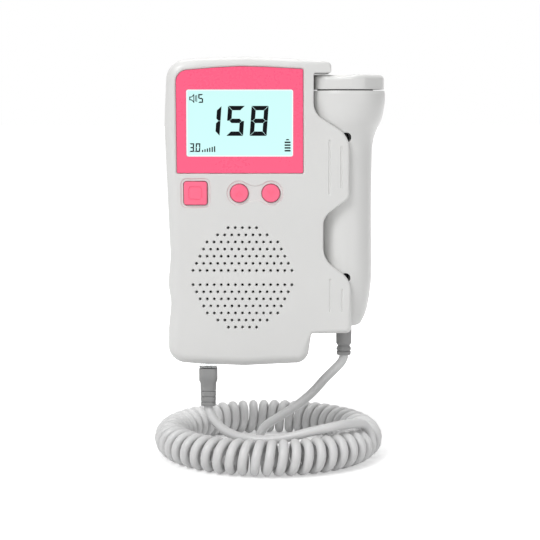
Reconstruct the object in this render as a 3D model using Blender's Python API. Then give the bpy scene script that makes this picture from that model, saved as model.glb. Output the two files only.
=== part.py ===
"""Fetal doppler monitor: a hand-held case with a probe in a side cradle and a curly cord.

Metres, +Z up. The front faces -Y and the probe is at +X. The origin is on the back face, at half height.
"""

import math

import bmesh
import bpy
import numpy as np
from mathutils import Matrix, Vector

# Shared clearances and steps
GAP = 0.0003
OVERRUN = 0.003
BOX_SIDES = 4
HOLE_SIDES = 6
GRILLE_SIDES = 5
SMALL_SIDES = 10
ROUND_SIDES = 20
PROBE_SIDES = 22
ARC_ROOM_SHARE = 0.995
ARC_STEP = math.radians(20)
COARSE_STEP = math.radians(46)
ROUNDING_STEPS = 3

# Case
CASE_WIDTH = 0.0694
CASE_HEIGHT = 0.1356
WALL = 0.0022
FRONT_WALL = 0.0026
EDGE_ROUNDING_SHARE = 0.0663
FRONT_EAR = 0.0027
BACK_EAR = 0.0051
CRADLE_CLEARANCE = 0.0005
CRADLE_WALL = 0.0022
BOSS_RADIUS = 0.0026
BACK_BOSS_RADIUS = 0.0037
GROOVE_WIDTH = 0.0008
GROOVE_DEPTH = 0.0004

# Outline of the case, clockwise from the top left: x share of the width, z share of the
# height, corner radius share of the width, and share of the full edge rounding.
CASE_CORNER_SHARES = (
    (-0.481, 0.488, 0.130, 1.00),
    (0.012, 0.506, 3.458, 0.83),
    (0.546, 0.483, 0.032, 0.26),
    (0.546, 0.448, 0.013, 0.13),
    (0.437, 0.447, 0.009, 0.13),
    (0.437, 0.319, 0.122, 0.20),
    (0.663, 0.249, 0.151, 0.26),
    (0.663, 0.048, 0.062, 0.26),
    (0.501, -0.012, 0.099, 0.20),
    (0.501, -0.151, 0.156, 0.20),
    (0.674, -0.214, 0.134, 0.26),
    (0.684, -0.391, 0.040, 0.52),
    (0.427, -0.391, 0.017, 0.35),
    (0.402, -0.487, 0.086, 0.87),
    (0.000, -0.507, 3.458, 1.00),
    (-0.486, -0.485, 0.115, 1.00),
    (-0.483, -0.383, 0.288, 1.00),
    (-0.465, -0.292, 0.173, 1.00),
    (-0.483, -0.231, 0.173, 1.00),
    (-0.467, -0.144, 0.432, 1.00),
    (-0.500, 0.280, 1.153, 1.00),
)
HOOK_UNDERSIDE_SHARE = 0.447
CAVITY_LEFT_SHARE = -0.467
CAVITY_TOP_SHARE = 0.491
CAVITY_BOTTOM_SHARE = -0.493
FOOT_SIDE_SHARE = 0.402
CAVITY_CORNER_SHARE = 0.07
NECK_SHARES = (0.285, 0.205)
FOOT_SHARES = (-0.358, -0.387)
FOOT_INSET = 0.0036
# Grip grooves on the ears: x share of the width, upper and lower z shares of the height.
GROOVE_SHARES = (
    (0.537, 0.235, 0.059),
    (0.611, 0.215, 0.082),
    (0.543, -0.212, -0.319),
    (0.619, -0.245, -0.319),
)

# Probe
HEAD_RADIUS = 0.01765
HANDLE_RADIUS = 0.0122
PROBE_LENGTH_SHARE = 0.8223
PROBE_WALL = 0.0020
CRADLE_SEAT_SHARE = 0.3811
# Handle outline: share of the probe's length, share of the handle's radius.
HANDLE_SHARES = (
    (0.004, 0.50),
    (0.010, 0.60),
    (0.024, 0.68),
    (0.050, 0.79),
    (0.081, 0.865),
    (0.142, 0.955),
    (0.203, 1.00),
    (0.504, 0.97),
    (0.703, 0.99),
)
# Flare into the head: share of the probe's length, share of the step from handle to head.
FLARE_SHARES = (
    (0.733, 0.04),
    (0.763, 0.19),
    (0.791, 0.41),
    (0.818, 0.66),
    (0.846, 0.83),
    (0.874, 0.93),
    (0.897, 0.99),
    (0.923, 1.00),
    (0.938, 0.94),
)
CAP_INSET = 0.00055
CAP_HEIGHT = 0.0067
CAP_ROUNDING = 0.0020
CAP_LOBES = 6
CAP_LOBE_STEPS = 6
CAP_FLUTE_DEPTH = 0.0011
CAP_FOOT_HEIGHT = 0.0004
CAP_RIM = 0.0031
FACE_THICKNESS = 0.0022
FACE_LEDGE = 0.0014
FACE_SINK = 0.0003
CRYSTAL_THICKNESS = 0.0012
CRYSTAL_SPLIT = 0.0008
BACKING_THICKNESS = 0.0042
PROBE_BOARD_LENGTH = 0.0360
PROBE_BOARD_THICKNESS = 0.0012
PROBE_BOARD_BOTTOM_SHARE = 0.353
PROBE_SCREW_SHARES = (0.756, 0.203)
PROBE_SCREW_HOLE_RADIUS = 0.0022
PROBE_SCREW_HEAD_RADIUS = 0.0017
PROBE_SCREW_SEAT = 0.0045
PROBE_BOSS_RADIUS = 0.0031
PROBE_SHANK_RADIUS = 0.0010
PROBE_SHANK_LENGTH = 0.0085

# Strain relief of the probe
BOOT_RADIUS = 0.00355
BOOT_LENGTH = 0.0130
BOOT_NECK_RADIUS = 0.0025
BOOT_NECK_LENGTH = 0.0052
# Ribs: share of the length down from the top, share of the radius.
BOOT_RIB_SHARES = (
    (0.00, 0.93),
    (0.04, 1.00),
    (0.60, 0.97),
    (0.68, 0.74),
    (0.76, 0.93),
    (0.83, 0.93),
    (0.86, 0.78),
    (0.89, 0.92),
    (1.00, 0.88),
)

# Display
PANEL_THICKNESS = 0.0012
PANEL_SINK = 0.0003
# Panel outline: x share of the width, z share of the height, radius share of the width.
PANEL_CORNER_SHARES = (
    (-0.422, 0.454, 0.072),
    (-0.029, 0.471, 2.161),
    (0.370, 0.460, 0.009),
    (0.372, 0.129, 0.009),
    (-0.419, 0.129, 0.009),
)
WINDOW_WIDTH_SHARE = 0.6671
WINDOW_HEIGHT_SHARE = 0.2131
WINDOW_CORNER = 0.0009
WINDOW_X_SHARE = -0.025
WINDOW_Z_SHARE = 0.2887
GLASS_BORDER_WIDTH = 0.0010
GLASS_BORDER_HEIGHT = 0.0018
GLASS_THICKNESS = 0.0026
FRAME_WALL = 0.0007
FRAME_LIP = 0.0006
BACKLIGHT_STANDOFF = 0.0014
STRIP_HEIGHT = 0.0020

# Buttons and switches
BUTTON_Z_SHARE = 0.0649
POWER_X_SHARE = -0.303
UP_X_SHARE = -0.0288
DOWN_X_SHARE = 0.170
POWER_SIDE = 0.0101
POWER_CORNER = 0.0012
VOLUME_RADIUS = 0.0039
BUTTON_PROUD = 0.0008
BUTTON_FLANGE = 0.0010
BUTTON_FLANGE_THICKNESS = 0.0008
BUTTON_EDGE = 0.0004
BUTTON_TRAVEL = 0.0008
STEM_RADIUS = 0.0016
SWITCH_SIDE = 0.0060
SWITCH_HEIGHT = 0.0034
PLUNGER_RADIUS = 0.0016
PLUNGER_PROUD = 0.0011
PLUNGER_DEPTH = 0.0010

# Speaker and grille
GRILLE_X_SHARE = -0.0094
GRILLE_Z_SHARE = -0.208
GRILLE_RADIUS = 0.0229
GRILLE_PITCH = 0.00309
GRILLE_ROW_PITCH = 0.00313
GRILLE_HOLE_RADIUS = 0.00058
SPEAKER_RADIUS = 0.0200
SPEAKER_FLANGE = 0.0012
BASKET_DEPTH = 0.0062
BASKET_WALL = 0.0008
MAGNET_RADIUS = 0.0088
SPEAKER_RIB = 0.0012
SPEAKER_RIB_HEIGHT = 0.0020

# Main board
BOARD_THICKNESS = 0.0016
BOARD_SETBACK = 0.0008
BOARD_TOP_SHARE = 0.422
BOARD_BOTTOM_SHARE = 0.0074
BOARD_MARGIN = 0.0006
CHIP_SIDE = 0.0100
CHIP_THICKNESS = 0.0014
CHIP_X_SHARE = -0.10
CHIP_Z_SHARE = 0.24
# Board screws: x share of the width, z share of the height.
BOARD_SCREW_SHARES = ((-0.392, 0.133), (0.317, 0.133), (0.071, 0.022))
BOARD_POST_RADIUS = 0.0023
BOARD_SHANK_RADIUS = 0.0010
BOARD_SHANK_LENGTH = 0.0060
BOARD_SCREW_HEAD = 0.0019
SCREW_HEAD_THICKNESS = 0.0014

# Case screws: x share of the width, z share of the height.
CASE_SCREW_SHARES = ((-0.383, 0.447), (0.297, 0.447), (-0.383, -0.448), (0.314, -0.448))
CASE_SCREW_HEAD = 0.0026
CASE_SCREW_SEAT = 0.0060
CASE_SHANK_RADIUS = 0.0012
CASE_SHANK_LENGTH = 0.0100
CASE_HEAD_THICKNESS = 0.0018

# Batteries, bay and door
BATTERY_DIAMETER = 0.0145
BATTERY_LENGTH = 0.0492
BATTERY_NUB_RADIUS = 0.0027
BATTERY_NUB_LENGTH = 0.0013
BAY_WALL = 0.0022
BAY_FLOOR = 0.0014
BAY_X_SHARE = -0.0144
BAY_FOOT = 0.00304
DOOR_THICKNESS = 0.0018
DOOR_LEDGE = 0.0012
DOOR_CORNER = 0.0020
DOOR_TAB_WIDTH = 0.0050
DOOR_TAB_REACH = 0.0014
DOOR_TAB_THICKNESS = 0.0008
DOOR_TAB_SPREAD = 0.0100
THUMB_RIDGES = 4
THUMB_RIDGE_WIDTH = 0.0100
THUMB_RIDGE_HEIGHT = 0.0006
THUMB_RIDGE_PITCH = 0.0022
SPRING_LENGTH = 0.0030
SPRING_RADIUS = 0.0036
SPRING_WIRE = 0.0006
SPRING_TURNS = 2.5
SPRING_POINTS = 7
CONTACT_THICKNESS = 0.0004
CONTACT_SIDE = 0.0090

# Cord jack and modular plug
JACK_X_SHARE = -0.232
JACK_WIDTH = 0.0120
JACK_HEIGHT = 0.0108
JACK_WALL = 0.0011
JACK_ROOF = 0.0014
PLUG_WIDTH = 0.0077
PLUG_DEPTH = 0.0065
PLUG_LENGTH = 0.0140
PLUG_SHOWING = 0.00125
PLUG_CORNER = 0.0006
CONTACT_COUNT = 4
CONTACT_PITCH = 0.0013
BLADE_THICKNESS = 0.0003
BLADE_DEPTH = 0.0022
BLADE_LENGTH = 0.0040
BLADE_SETBACK = 0.0008
LATCH_WIDTH = 0.0030
LATCH_THICKNESS = 0.0008
LATCH_SPLAY = 0.0009
LATCH_LENGTH = 0.0122
LATCH_SETBACK = 0.0010
PLUG_BOOT_WIDTH = 0.0081
PLUG_BOOT_DEPTH = 0.0072
PLUG_BOOT_LENGTH = 0.0169
# Boot rings: share of the length down from the top, share of the width.
PLUG_BOOT_SHARES = (
    (0.00, 0.94),
    (0.03, 1.00),
    (0.32, 1.00),
    (0.39, 0.86),
    (0.59, 0.84),
    (0.61, 0.72),
    (0.64, 0.84),
    (0.74, 0.83),
    (0.76, 0.72),
    (0.79, 0.83),
    (0.88, 0.82),
    (0.90, 0.72),
    (0.93, 0.82),
    (1.00, 0.80),
)
PLUG_BOOT_CORNER = 0.0018

# Curly cord: the ring that it lies in, its curls, and its two straight leads
CORD_DIAMETER = 0.0041
CURL_RADIUS = 0.0059
RING_RADIUS = 0.0437
RING_CENTRE_X = 0.01065
RING_CENTRE_Y = -0.0150
RING_DROP = 0.1026
CURLS = 49
CURL_POINTS = 8
CURL_CROWDING = 0.09
END_TAPER = 0.16
END_CURLS = 3
PLUG_END_ANGLE = math.radians(-19.5)
PROBE_END_ANGLE = math.radians(-11.5)
PLUG_END_PHASE = 0.0
PROBE_END_PHASE = math.radians(-90)
CROWDING_ROUNDS = 6
LEAD_STRAIGHT = 0.0012
LEAD_POINT_SPACING = 0.0084
LEAD_RESOLUTION = 2
CURL_RESOLUTION = 1
# Routes of the leads between their ends, as chosen points.
PLUG_LEAD_ROUTE = (
    (-0.0154, -0.0262, -0.0893),
    (-0.0143, -0.0280, -0.0913),
    (-0.0121, -0.0310, -0.0935),
    (-0.0089, -0.0358, -0.0954),
    (-0.0035, -0.0413, -0.0969),
    (0.0027, -0.0454, -0.0973),
    (0.0092, -0.0474, -0.0973),
    (0.0157, -0.0484, -0.0966),
    (0.0222, -0.0490, -0.0952),
    (0.0287, -0.0494, -0.0933),
    (0.0359, -0.0486, -0.0919),
    (0.0413, -0.0460, -0.0912),
    (0.0459, -0.0418, -0.0915),
    (0.0495, -0.0366, -0.0924),
    (0.0517, -0.0328, -0.0932),
    (0.0539, -0.0302, -0.0949),
    (0.0557, -0.0293, -0.0977),
    (0.0565, -0.0298, -0.1006),
)
PROBE_LEAD_ROUTE = (
    (0.0442, -0.0178, -0.0671),
    (0.0432, -0.0177, -0.0686),
    (0.0415, -0.0175, -0.0705),
    (0.0391, -0.0170, -0.0730),
    (0.0363, -0.0164, -0.0759),
    (0.0307, -0.0150, -0.0825),
    (0.0239, -0.0136, -0.0886),
    (0.0164, -0.0122, -0.0939),
    (0.0107, -0.0106, -0.0979),
    (0.0074, -0.0092, -0.1020),
    (0.0069, -0.0089, -0.1054),
    (0.0088, -0.0120, -0.1080),
    (0.0135, -0.0175, -0.1085),
    (0.0215, -0.0250, -0.1085),
    (0.0305, -0.0278, -0.1085),
    (0.0390, -0.0264, -0.1085),
    (0.0462, -0.0244, -0.1085),
)

# Places worked out from the sizes above
case_depth = FRONT_EAR + BACK_EAR + 2 * (HANDLE_RADIUS + CRADLE_CLEARANCE)
front_y = -case_depth
inner_y = front_y + FRONT_WALL
cell_y = -(DOOR_THICKNESS + 2 * GAP + BATTERY_DIAMETER / 2)
bay_floor_y = cell_y - BATTERY_DIAMETER / 2 - GAP
seam_y = bay_floor_y - BAY_FLOOR - GAP
board_back_y = seam_y - BOARD_SETBACK
board_front_y = board_back_y - BOARD_THICKNESS

probe_length = PROBE_LENGTH_SHARE * CASE_HEIGHT
cap_outer = HEAD_RADIUS - CAP_INSET
face_radius = cap_outer - CAP_RIM
seat_x = CRADLE_SEAT_SHARE * CASE_WIDTH
probe_x = seat_x + CRADLE_CLEARANCE + HEAD_RADIUS
probe_y = -(BACK_EAR + CRADLE_CLEARANCE + HANDLE_RADIUS)
probe_top_z = HOOK_UNDERSIDE_SHARE * CASE_HEIGHT - CRADLE_CLEARANCE
probe_bottom_z = probe_top_z - probe_length
cap_bottom_z = probe_top_z - CAP_HEIGHT
boot_top_z = probe_bottom_z - GAP
boot_end_z = boot_top_z - BOOT_LENGTH

cavity_left = CAVITY_LEFT_SHARE * CASE_WIDTH + WALL
cavity_top = CAVITY_TOP_SHARE * CASE_HEIGHT - WALL
cavity_bottom = CAVITY_BOTTOM_SHARE * CASE_HEIGHT + WALL
cavity_right_head = seat_x - CRADLE_WALL
cavity_right_handle = probe_x - HANDLE_RADIUS - CRADLE_CLEARANCE - CRADLE_WALL
cavity_right_foot = FOOT_SIDE_SHARE * CASE_WIDTH - WALL

window_width = WINDOW_WIDTH_SHARE * CASE_WIDTH
window_height = WINDOW_HEIGHT_SHARE * CASE_HEIGHT
window_x = WINDOW_X_SHARE * CASE_WIDTH
window_z = WINDOW_Z_SHARE * CASE_HEIGHT
button_z = BUTTON_Z_SHARE * CASE_HEIGHT
grille_x = GRILLE_X_SHARE * CASE_WIDTH
grille_z = GRILLE_Z_SHARE * CASE_HEIGHT

bay_width = 2 * BATTERY_DIAMETER + 3 * GAP
bay_length = BATTERY_LENGTH + BATTERY_NUB_LENGTH + SPRING_LENGTH + 2 * CONTACT_THICKNESS + 5 * GAP
bay_x = BAY_X_SHARE * CASE_WIDTH
bay_bottom_z = cavity_bottom + BAY_FOOT
bay_top_z = bay_bottom_z + bay_length
door_top_z = bay_top_z + DOOR_LEDGE
door_bottom_z = bay_bottom_z - DOOR_LEDGE
door_width = bay_width + 2 * DOOR_LEDGE
cell_pitch = BATTERY_DIAMETER + GAP
plate_low_z = bay_bottom_z + GAP + CONTACT_THICKNESS
plate_high_z = bay_top_z - GAP - CONTACT_THICKNESS

jack_x = JACK_X_SHARE * CASE_WIDTH
jack_bottom_z = cavity_bottom + GAP
jack_front_y = inner_y + GAP
jack_back_y = seam_y - GAP
plug_y = jack_front_y + JACK_WALL + GAP + PLUG_DEPTH / 2
plug_bottom_z = -CASE_HEIGHT / 2 - PLUG_SHOWING
plug_top_z = plug_bottom_z + PLUG_LENGTH
plug_boot_top_z = plug_bottom_z - GAP
plug_boot_end_z = plug_boot_top_z - PLUG_BOOT_LENGTH
latch_top_z = plug_top_z - LATCH_SETBACK
latch_y = plug_y + PLUG_DEPTH / 2 + GAP
notch_back_y = latch_y + LATCH_THICKNESS + LATCH_SPLAY + GAP
jack_top_z = max(jack_bottom_z + JACK_HEIGHT, plug_top_z + GAP + JACK_ROOF)


# Materials

def material(name, colour, roughness, metallic=0.0):
    """A Principled material with a plain colour."""
    made = bpy.data.materials.new(name)
    made.use_nodes = True
    shader = made.node_tree.nodes["Principled BSDF"]
    shader.inputs["Base Color"].default_value = (*colour, 1.0)
    shader.inputs["Roughness"].default_value = roughness
    shader.inputs["Metallic"].default_value = metallic
    return made


# Shapes

def new_object(name, bm, finish, smooth=True):
    """An object of this mesh, with its faces turned out."""
    bmesh.ops.recalc_face_normals(bm, faces=bm.faces)
    mesh = bpy.data.meshes.new(name)
    bm.to_mesh(mesh)
    bm.free()
    made = bpy.data.objects.new(name, mesh)
    bpy.context.scene.collection.objects.link(made)
    if finish is not None:
        mesh.materials.append(finish)
    if smooth:
        mesh.shade_smooth()
        mesh.set_sharp_from_angle(angle=math.radians(35))
    return made


def boolean(target, cutter_bm, name, operation="DIFFERENCE"):
    """Cuts the mesh from the target, or joins it on, with a helper object that isn't rendered."""
    helper = new_object(f"{target.name}_{name}", cutter_bm, None, smooth=False)
    helper.hide_render = True
    helper.display_type = "WIRE"
    modifier = target.modifiers.new(name, "BOOLEAN")
    modifier.operation = operation
    modifier.solver = "EXACT"
    modifier.object = helper
    return helper


def box(bm, low, high):
    """A box between two corners."""
    size = Vector(high) - Vector(low)
    middle = (Vector(high) + Vector(low)) / 2
    place = Matrix.Translation(middle) @ Matrix.Diagonal((*size, 1.0))
    bmesh.ops.create_cube(bm, size=1.0, matrix=place)


def rod(bm, start, end, radius, sides, end_radius=None):
    """A cylinder or cone from one point to another."""
    start, end = Vector(start), Vector(end)
    along = end - start
    turn = along.to_track_quat("Z", "Y").to_matrix().to_4x4()
    bmesh.ops.create_cone(
        bm,
        cap_ends=True,
        segments=sides,
        radius1=radius,
        radius2=radius if end_radius is None else end_radius,
        depth=along.length,
        matrix=Matrix.Translation((start + end) / 2) @ turn,
    )


def skin(bm, rings):
    """Joins rings of points into one closed body with flat ends."""
    loops = [[bm.verts.new(point) for point in ring] for ring in rings]
    for lower, upper in zip(loops, loops[1:]):
        for i, vertex in enumerate(lower):
            after = (i + 1) % len(lower)
            bm.faces.new((vertex, lower[after], upper[after], upper[i]))
    bm.faces.new(loops[0])
    bm.faces.new(loops[-1])


def fitted(corners):
    """The corners, with each radius held to what its two sides have room for."""
    count = len(corners)
    points = [Vector(corner[:2]) for corner in corners]
    reaches = []
    for i, corner in enumerate(corners):
        back, ahead = points[i - 1] - points[i], points[(i + 1) % count] - points[i]
        reaches.append(corner[2] * math.tan((math.pi - back.angle(ahead)) / 2))
    held = []
    for i, (x, z, radius, *rest) in enumerate(corners):
        for j in (i - 1, (i + 1) % count):
            room = ARC_ROOM_SHARE * (points[j] - points[i]).length
            radius = min(radius, corners[i][2] * room / (reaches[i] + reaches[j]))
        held.append((x, z, radius, *rest))
    return held


def rounded(corners, arc_step=ARC_STEP):
    """The outline round these corners (x, z, radius, ...), clockwise, as (point, outward, rest)."""
    outline = []
    corners = fitted(corners)
    for i, (x, z, radius, *rest) in enumerate(corners):
        here = Vector((x, z))
        back = (Vector(corners[i - 1][:2]) - here).normalized()
        ahead = (Vector(corners[(i + 1) % len(corners)][:2]) - here).normalized()
        turn = math.pi - back.angle(ahead)
        reach = radius * math.tan(turn / 2)
        centre = here + (back + ahead).normalized() * math.hypot(radius, reach)
        spoke = here + back * reach - centre
        bend = 1 if back.cross(ahead) > 0 else -1
        steps = max(1, math.ceil(turn / arc_step))
        for k in range(steps + 1):
            turned = spoke.copy()
            turned.rotate(Matrix.Rotation(-bend * turn * k / steps, 2))
            outline.append((centre + turned, turned.normalized() * bend, rest))
    return outline


def plate(bm, corners, low_y, high_y, grow=0.0):
    """A flat plate with a rounded outline, between two depths."""
    outline = [point + outward * grow for point, outward, _ in rounded(corners)]
    skin(bm, [[(p.x, y, p.y) for p in outline] for y in (low_y, high_y)])


def rectangle(x, z, width, height, radius):
    """Corners of a rounded rectangle, clockwise."""
    left, right = x - width / 2, x + width / 2
    low, high = z - height / 2, z + height / 2
    return ((left, high, radius), (right, high, radius), (right, low, radius), (left, low, radius))


def turned_rings(profile, centre_x, centre_y, sides):
    """Rings of a shape turned about a vertical axis, from (height, radius) pairs."""
    angles = [2 * math.pi * k / sides for k in range(sides)]
    return [
        [(centre_x + r * math.sin(a), centre_y - r * math.cos(a), z) for a in angles]
        for z, r in profile
    ]


def turned_about_y(profile, centre_x, centre_z, sides):
    """Rings of a shape turned about an axis along Y, from (depth, radius) pairs."""
    angles = [2 * math.pi * k / sides for k in range(sides)]
    return [
        [(centre_x + r * math.cos(a), y, centre_z + r * math.sin(a)) for a in angles]
        for y, r in profile
    ]


# Case

def case_corners():
    return [
        (x * CASE_WIDTH, z * CASE_HEIGHT, radius * CASE_WIDTH, rounding * EDGE_ROUNDING_SHARE * CASE_WIDTH)
        for x, z, radius, rounding in CASE_CORNER_SHARES
    ]


def case_half(bm, seam, face):
    """Half of the case, from the seam to its outer face, with rounded outer edges."""
    outline = rounded(case_corners())
    inward = math.copysign(1.0, seam - face)
    rings = [[(p.x, seam, p.y) for p, _, _ in outline]]
    for k in range(ROUNDING_STEPS + 1):
        angle = math.pi / 2 * k / ROUNDING_STEPS
        ring = []
        for point, outward, (size,) in outline:
            place = point - outward * size * (1 - math.cos(angle))
            ring.append((place.x, face + inward * size * (1 - math.sin(angle)), place.y))
        rings.append(ring)
    skin(bm, rings)


def cavity_corners():
    corner = CAVITY_CORNER_SHARE * CASE_WIDTH
    neck_top, neck_bottom = (share * CASE_HEIGHT for share in NECK_SHARES)
    foot_top, foot_bottom = (share * CASE_HEIGHT for share in FOOT_SHARES)
    return (
        (cavity_left, cavity_top, corner),
        (cavity_right_head, cavity_top, WALL),
        (cavity_right_head, neck_top, WALL),
        (cavity_right_handle, neck_bottom, WALL),
        (cavity_right_handle, foot_top, WALL),
        (cavity_right_handle - FOOT_INSET, foot_bottom, WALL),
        (cavity_right_foot, cavity_bottom, WALL),
        (cavity_left, cavity_bottom, corner),
    )


def probe_profile(grow=0.0):
    """(height, radius) of the probe's shell, bottom to top."""
    handle = [(at, HANDLE_RADIUS * share) for at, share in HANDLE_SHARES]
    step = HEAD_RADIUS - HANDLE_RADIUS
    flare = [(at, HANDLE_RADIUS + step * share) for at, share in FLARE_SHARES]
    return [(probe_bottom_z + at * probe_length, r + grow) for at, r in handle + flare]


def cradle_cutter(bm):
    """The space that the probe and its strain relief take on their way out sideways."""
    far_x = probe_x + CASE_WIDTH
    profile = probe_profile(CRADLE_CLEARANCE)
    widest = HEAD_RADIUS + CRADLE_CLEARANCE
    slot = BOOT_RADIUS + CRADLE_CLEARANCE
    floor_z = probe_bottom_z - CRADLE_CLEARANCE
    profile = [(floor_z - CASE_HEIGHT, slot), (floor_z, slot), (floor_z, profile[0][1])] + profile[1:-1]
    profile.append((probe_top_z + CRADLE_CLEARANCE, widest))
    rings = []
    half = PROBE_SIDES // 2
    for z, r in profile:
        ring = []
        for k in range(half + 1):
            angle = math.pi * k / half
            ring.append((probe_x - r * math.sin(angle), probe_y - r * math.cos(angle), z))
        ring += [(far_x, probe_y + r, z), (far_x, probe_y - r, z)]
        rings.append(ring)
    skin(bm, rings)


def screw_places(shares):
    return [(x * CASE_WIDTH, z * CASE_HEIGHT) for x, z in shares]


def grille_places():
    """Centres of the grille's holes: staggered rows inside a circle, with the middle row left out."""
    places = []
    rows = int(GRILLE_RADIUS / GRILLE_ROW_PITCH)
    for row in range(-rows, rows + 1):
        half_chord = math.sqrt(GRILLE_RADIUS**2 - (row * GRILLE_ROW_PITCH) ** 2)
        steps = int(2 * half_chord / GRILLE_PITCH)
        if (steps + row) % 2 == 0:
            steps -= 1
        if row == 0:
            continue
        for k in range(steps + 1):
            x = (k - steps / 2) * GRILLE_PITCH
            places.append((grille_x + x, grille_z + row * GRILLE_ROW_PITCH))
    return places


def make_front_shell(finish):
    bm = bmesh.new()
    case_half(bm, seam_y - GAP / 2, front_y)
    shell = new_object("front_shell", bm, finish)

    bm = bmesh.new()
    plate(bm, cavity_corners(), inner_y, seam_y + OVERRUN)
    boolean(shell, bm, "cavity")

    bm = bmesh.new()
    for x, z in screw_places(CASE_SCREW_SHARES):
        rod(bm, (x, inner_y - FRONT_WALL / 2, z), (x, seam_y - GAP / 2, z), BOSS_RADIUS, SMALL_SIDES)
    for x, z in screw_places(BOARD_SCREW_SHARES):
        post_end = board_front_y - GAP
        rod(bm, (x, inner_y - FRONT_WALL / 2, z), (x, post_end, z), BOARD_POST_RADIUS, SMALL_SIDES)
    boolean(shell, bm, "posts", "UNION")

    bm = bmesh.new()
    ring_end = inner_y + SPEAKER_RIB_HEIGHT
    outer = SPEAKER_RADIUS + GAP + SPEAKER_RIB
    middle = inner_y - FRONT_WALL / 2
    rings = turned_about_y([(middle, outer), (ring_end, outer)], grille_x, grille_z, ROUND_SIDES)
    skin(bm, rings)
    boolean(shell, bm, "speaker_ring", "UNION")

    bm = bmesh.new()
    bore = SPEAKER_RADIUS + GAP
    rings = turned_about_y(
        [(inner_y, bore), (ring_end + OVERRUN, bore)], grille_x, grille_z, ROUND_SIDES
    )
    skin(bm, rings)
    boolean(shell, bm, "speaker_seat")

    bm = bmesh.new()
    cradle_cutter(bm)
    boolean(shell, bm, "cradle")

    bm = bmesh.new()
    recess_y = front_y + PANEL_SINK + PANEL_THICKNESS + GAP
    panel = panel_corners()
    plate(bm, panel, front_y - OVERRUN, recess_y, GAP)
    boolean(shell, bm, "display_recess")

    bm = bmesh.new()
    window = rectangle(window_x, window_z, window_width, window_height, WINDOW_CORNER)
    plate(bm, window, front_y - OVERRUN, inner_y + OVERRUN, GAP)
    for x_share in (UP_X_SHARE, DOWN_X_SHARE):
        x = x_share * CASE_WIDTH
        ends = (x, front_y - OVERRUN, button_z), (x, inner_y + OVERRUN, button_z)
        rod(bm, *ends, VOLUME_RADIUS + GAP, ROUND_SIDES)
    power = rectangle(POWER_X_SHARE * CASE_WIDTH, button_z, POWER_SIDE, POWER_SIDE, POWER_CORNER)
    plate(bm, power, front_y - OVERRUN, inner_y + OVERRUN, GAP)
    boolean(shell, bm, "openings")

    bm = bmesh.new()
    for x, z in screw_places(CASE_SCREW_SHARES):
        hole_end = seam_y + CASE_SCREW_SEAT - CASE_SHANK_LENGTH - 2 * GAP
        rod(bm, (x, hole_end, z), (x, seam_y + OVERRUN, z), CASE_SHANK_RADIUS + GAP, HOLE_SIDES)
    for x, z in screw_places(BOARD_SCREW_SHARES):
        hole_end = board_back_y - BOARD_SHANK_LENGTH - GAP
        rod(bm, (x, hole_end, z), (x, seam_y + OVERRUN, z), BOARD_SHANK_RADIUS + GAP, HOLE_SIDES)
    boolean(shell, bm, "screw_holes")

    bm = bmesh.new()
    half = PLUG_WIDTH / 2 + 2 * GAP
    front = plug_y - PLUG_DEPTH / 2 - 2 * GAP
    box(
        bm,
        (jack_x - half, front, -CASE_HEIGHT / 2 - OVERRUN),
        (jack_x + half, notch_back_y, cavity_bottom + OVERRUN),
    )
    boolean(shell, bm, "plug_opening")

    bm = bmesh.new()
    for x_share, high, low in GROOVE_SHARES:
        x = x_share * CASE_WIDTH
        box(
            bm,
            (x - GROOVE_WIDTH / 2, front_y - OVERRUN, low * CASE_HEIGHT),
            (x + GROOVE_WIDTH / 2, front_y + GROOVE_DEPTH, high * CASE_HEIGHT),
        )
    boolean(shell, bm, "grip_grooves")

    bm = bmesh.new()
    for x, z in grille_places():
        ends = (x, front_y - OVERRUN, z), (x, inner_y + OVERRUN, z)
        rod(bm, *ends, GRILLE_HOLE_RADIUS, GRILLE_SIDES)
    boolean(shell, bm, "grille")
    return shell


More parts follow.
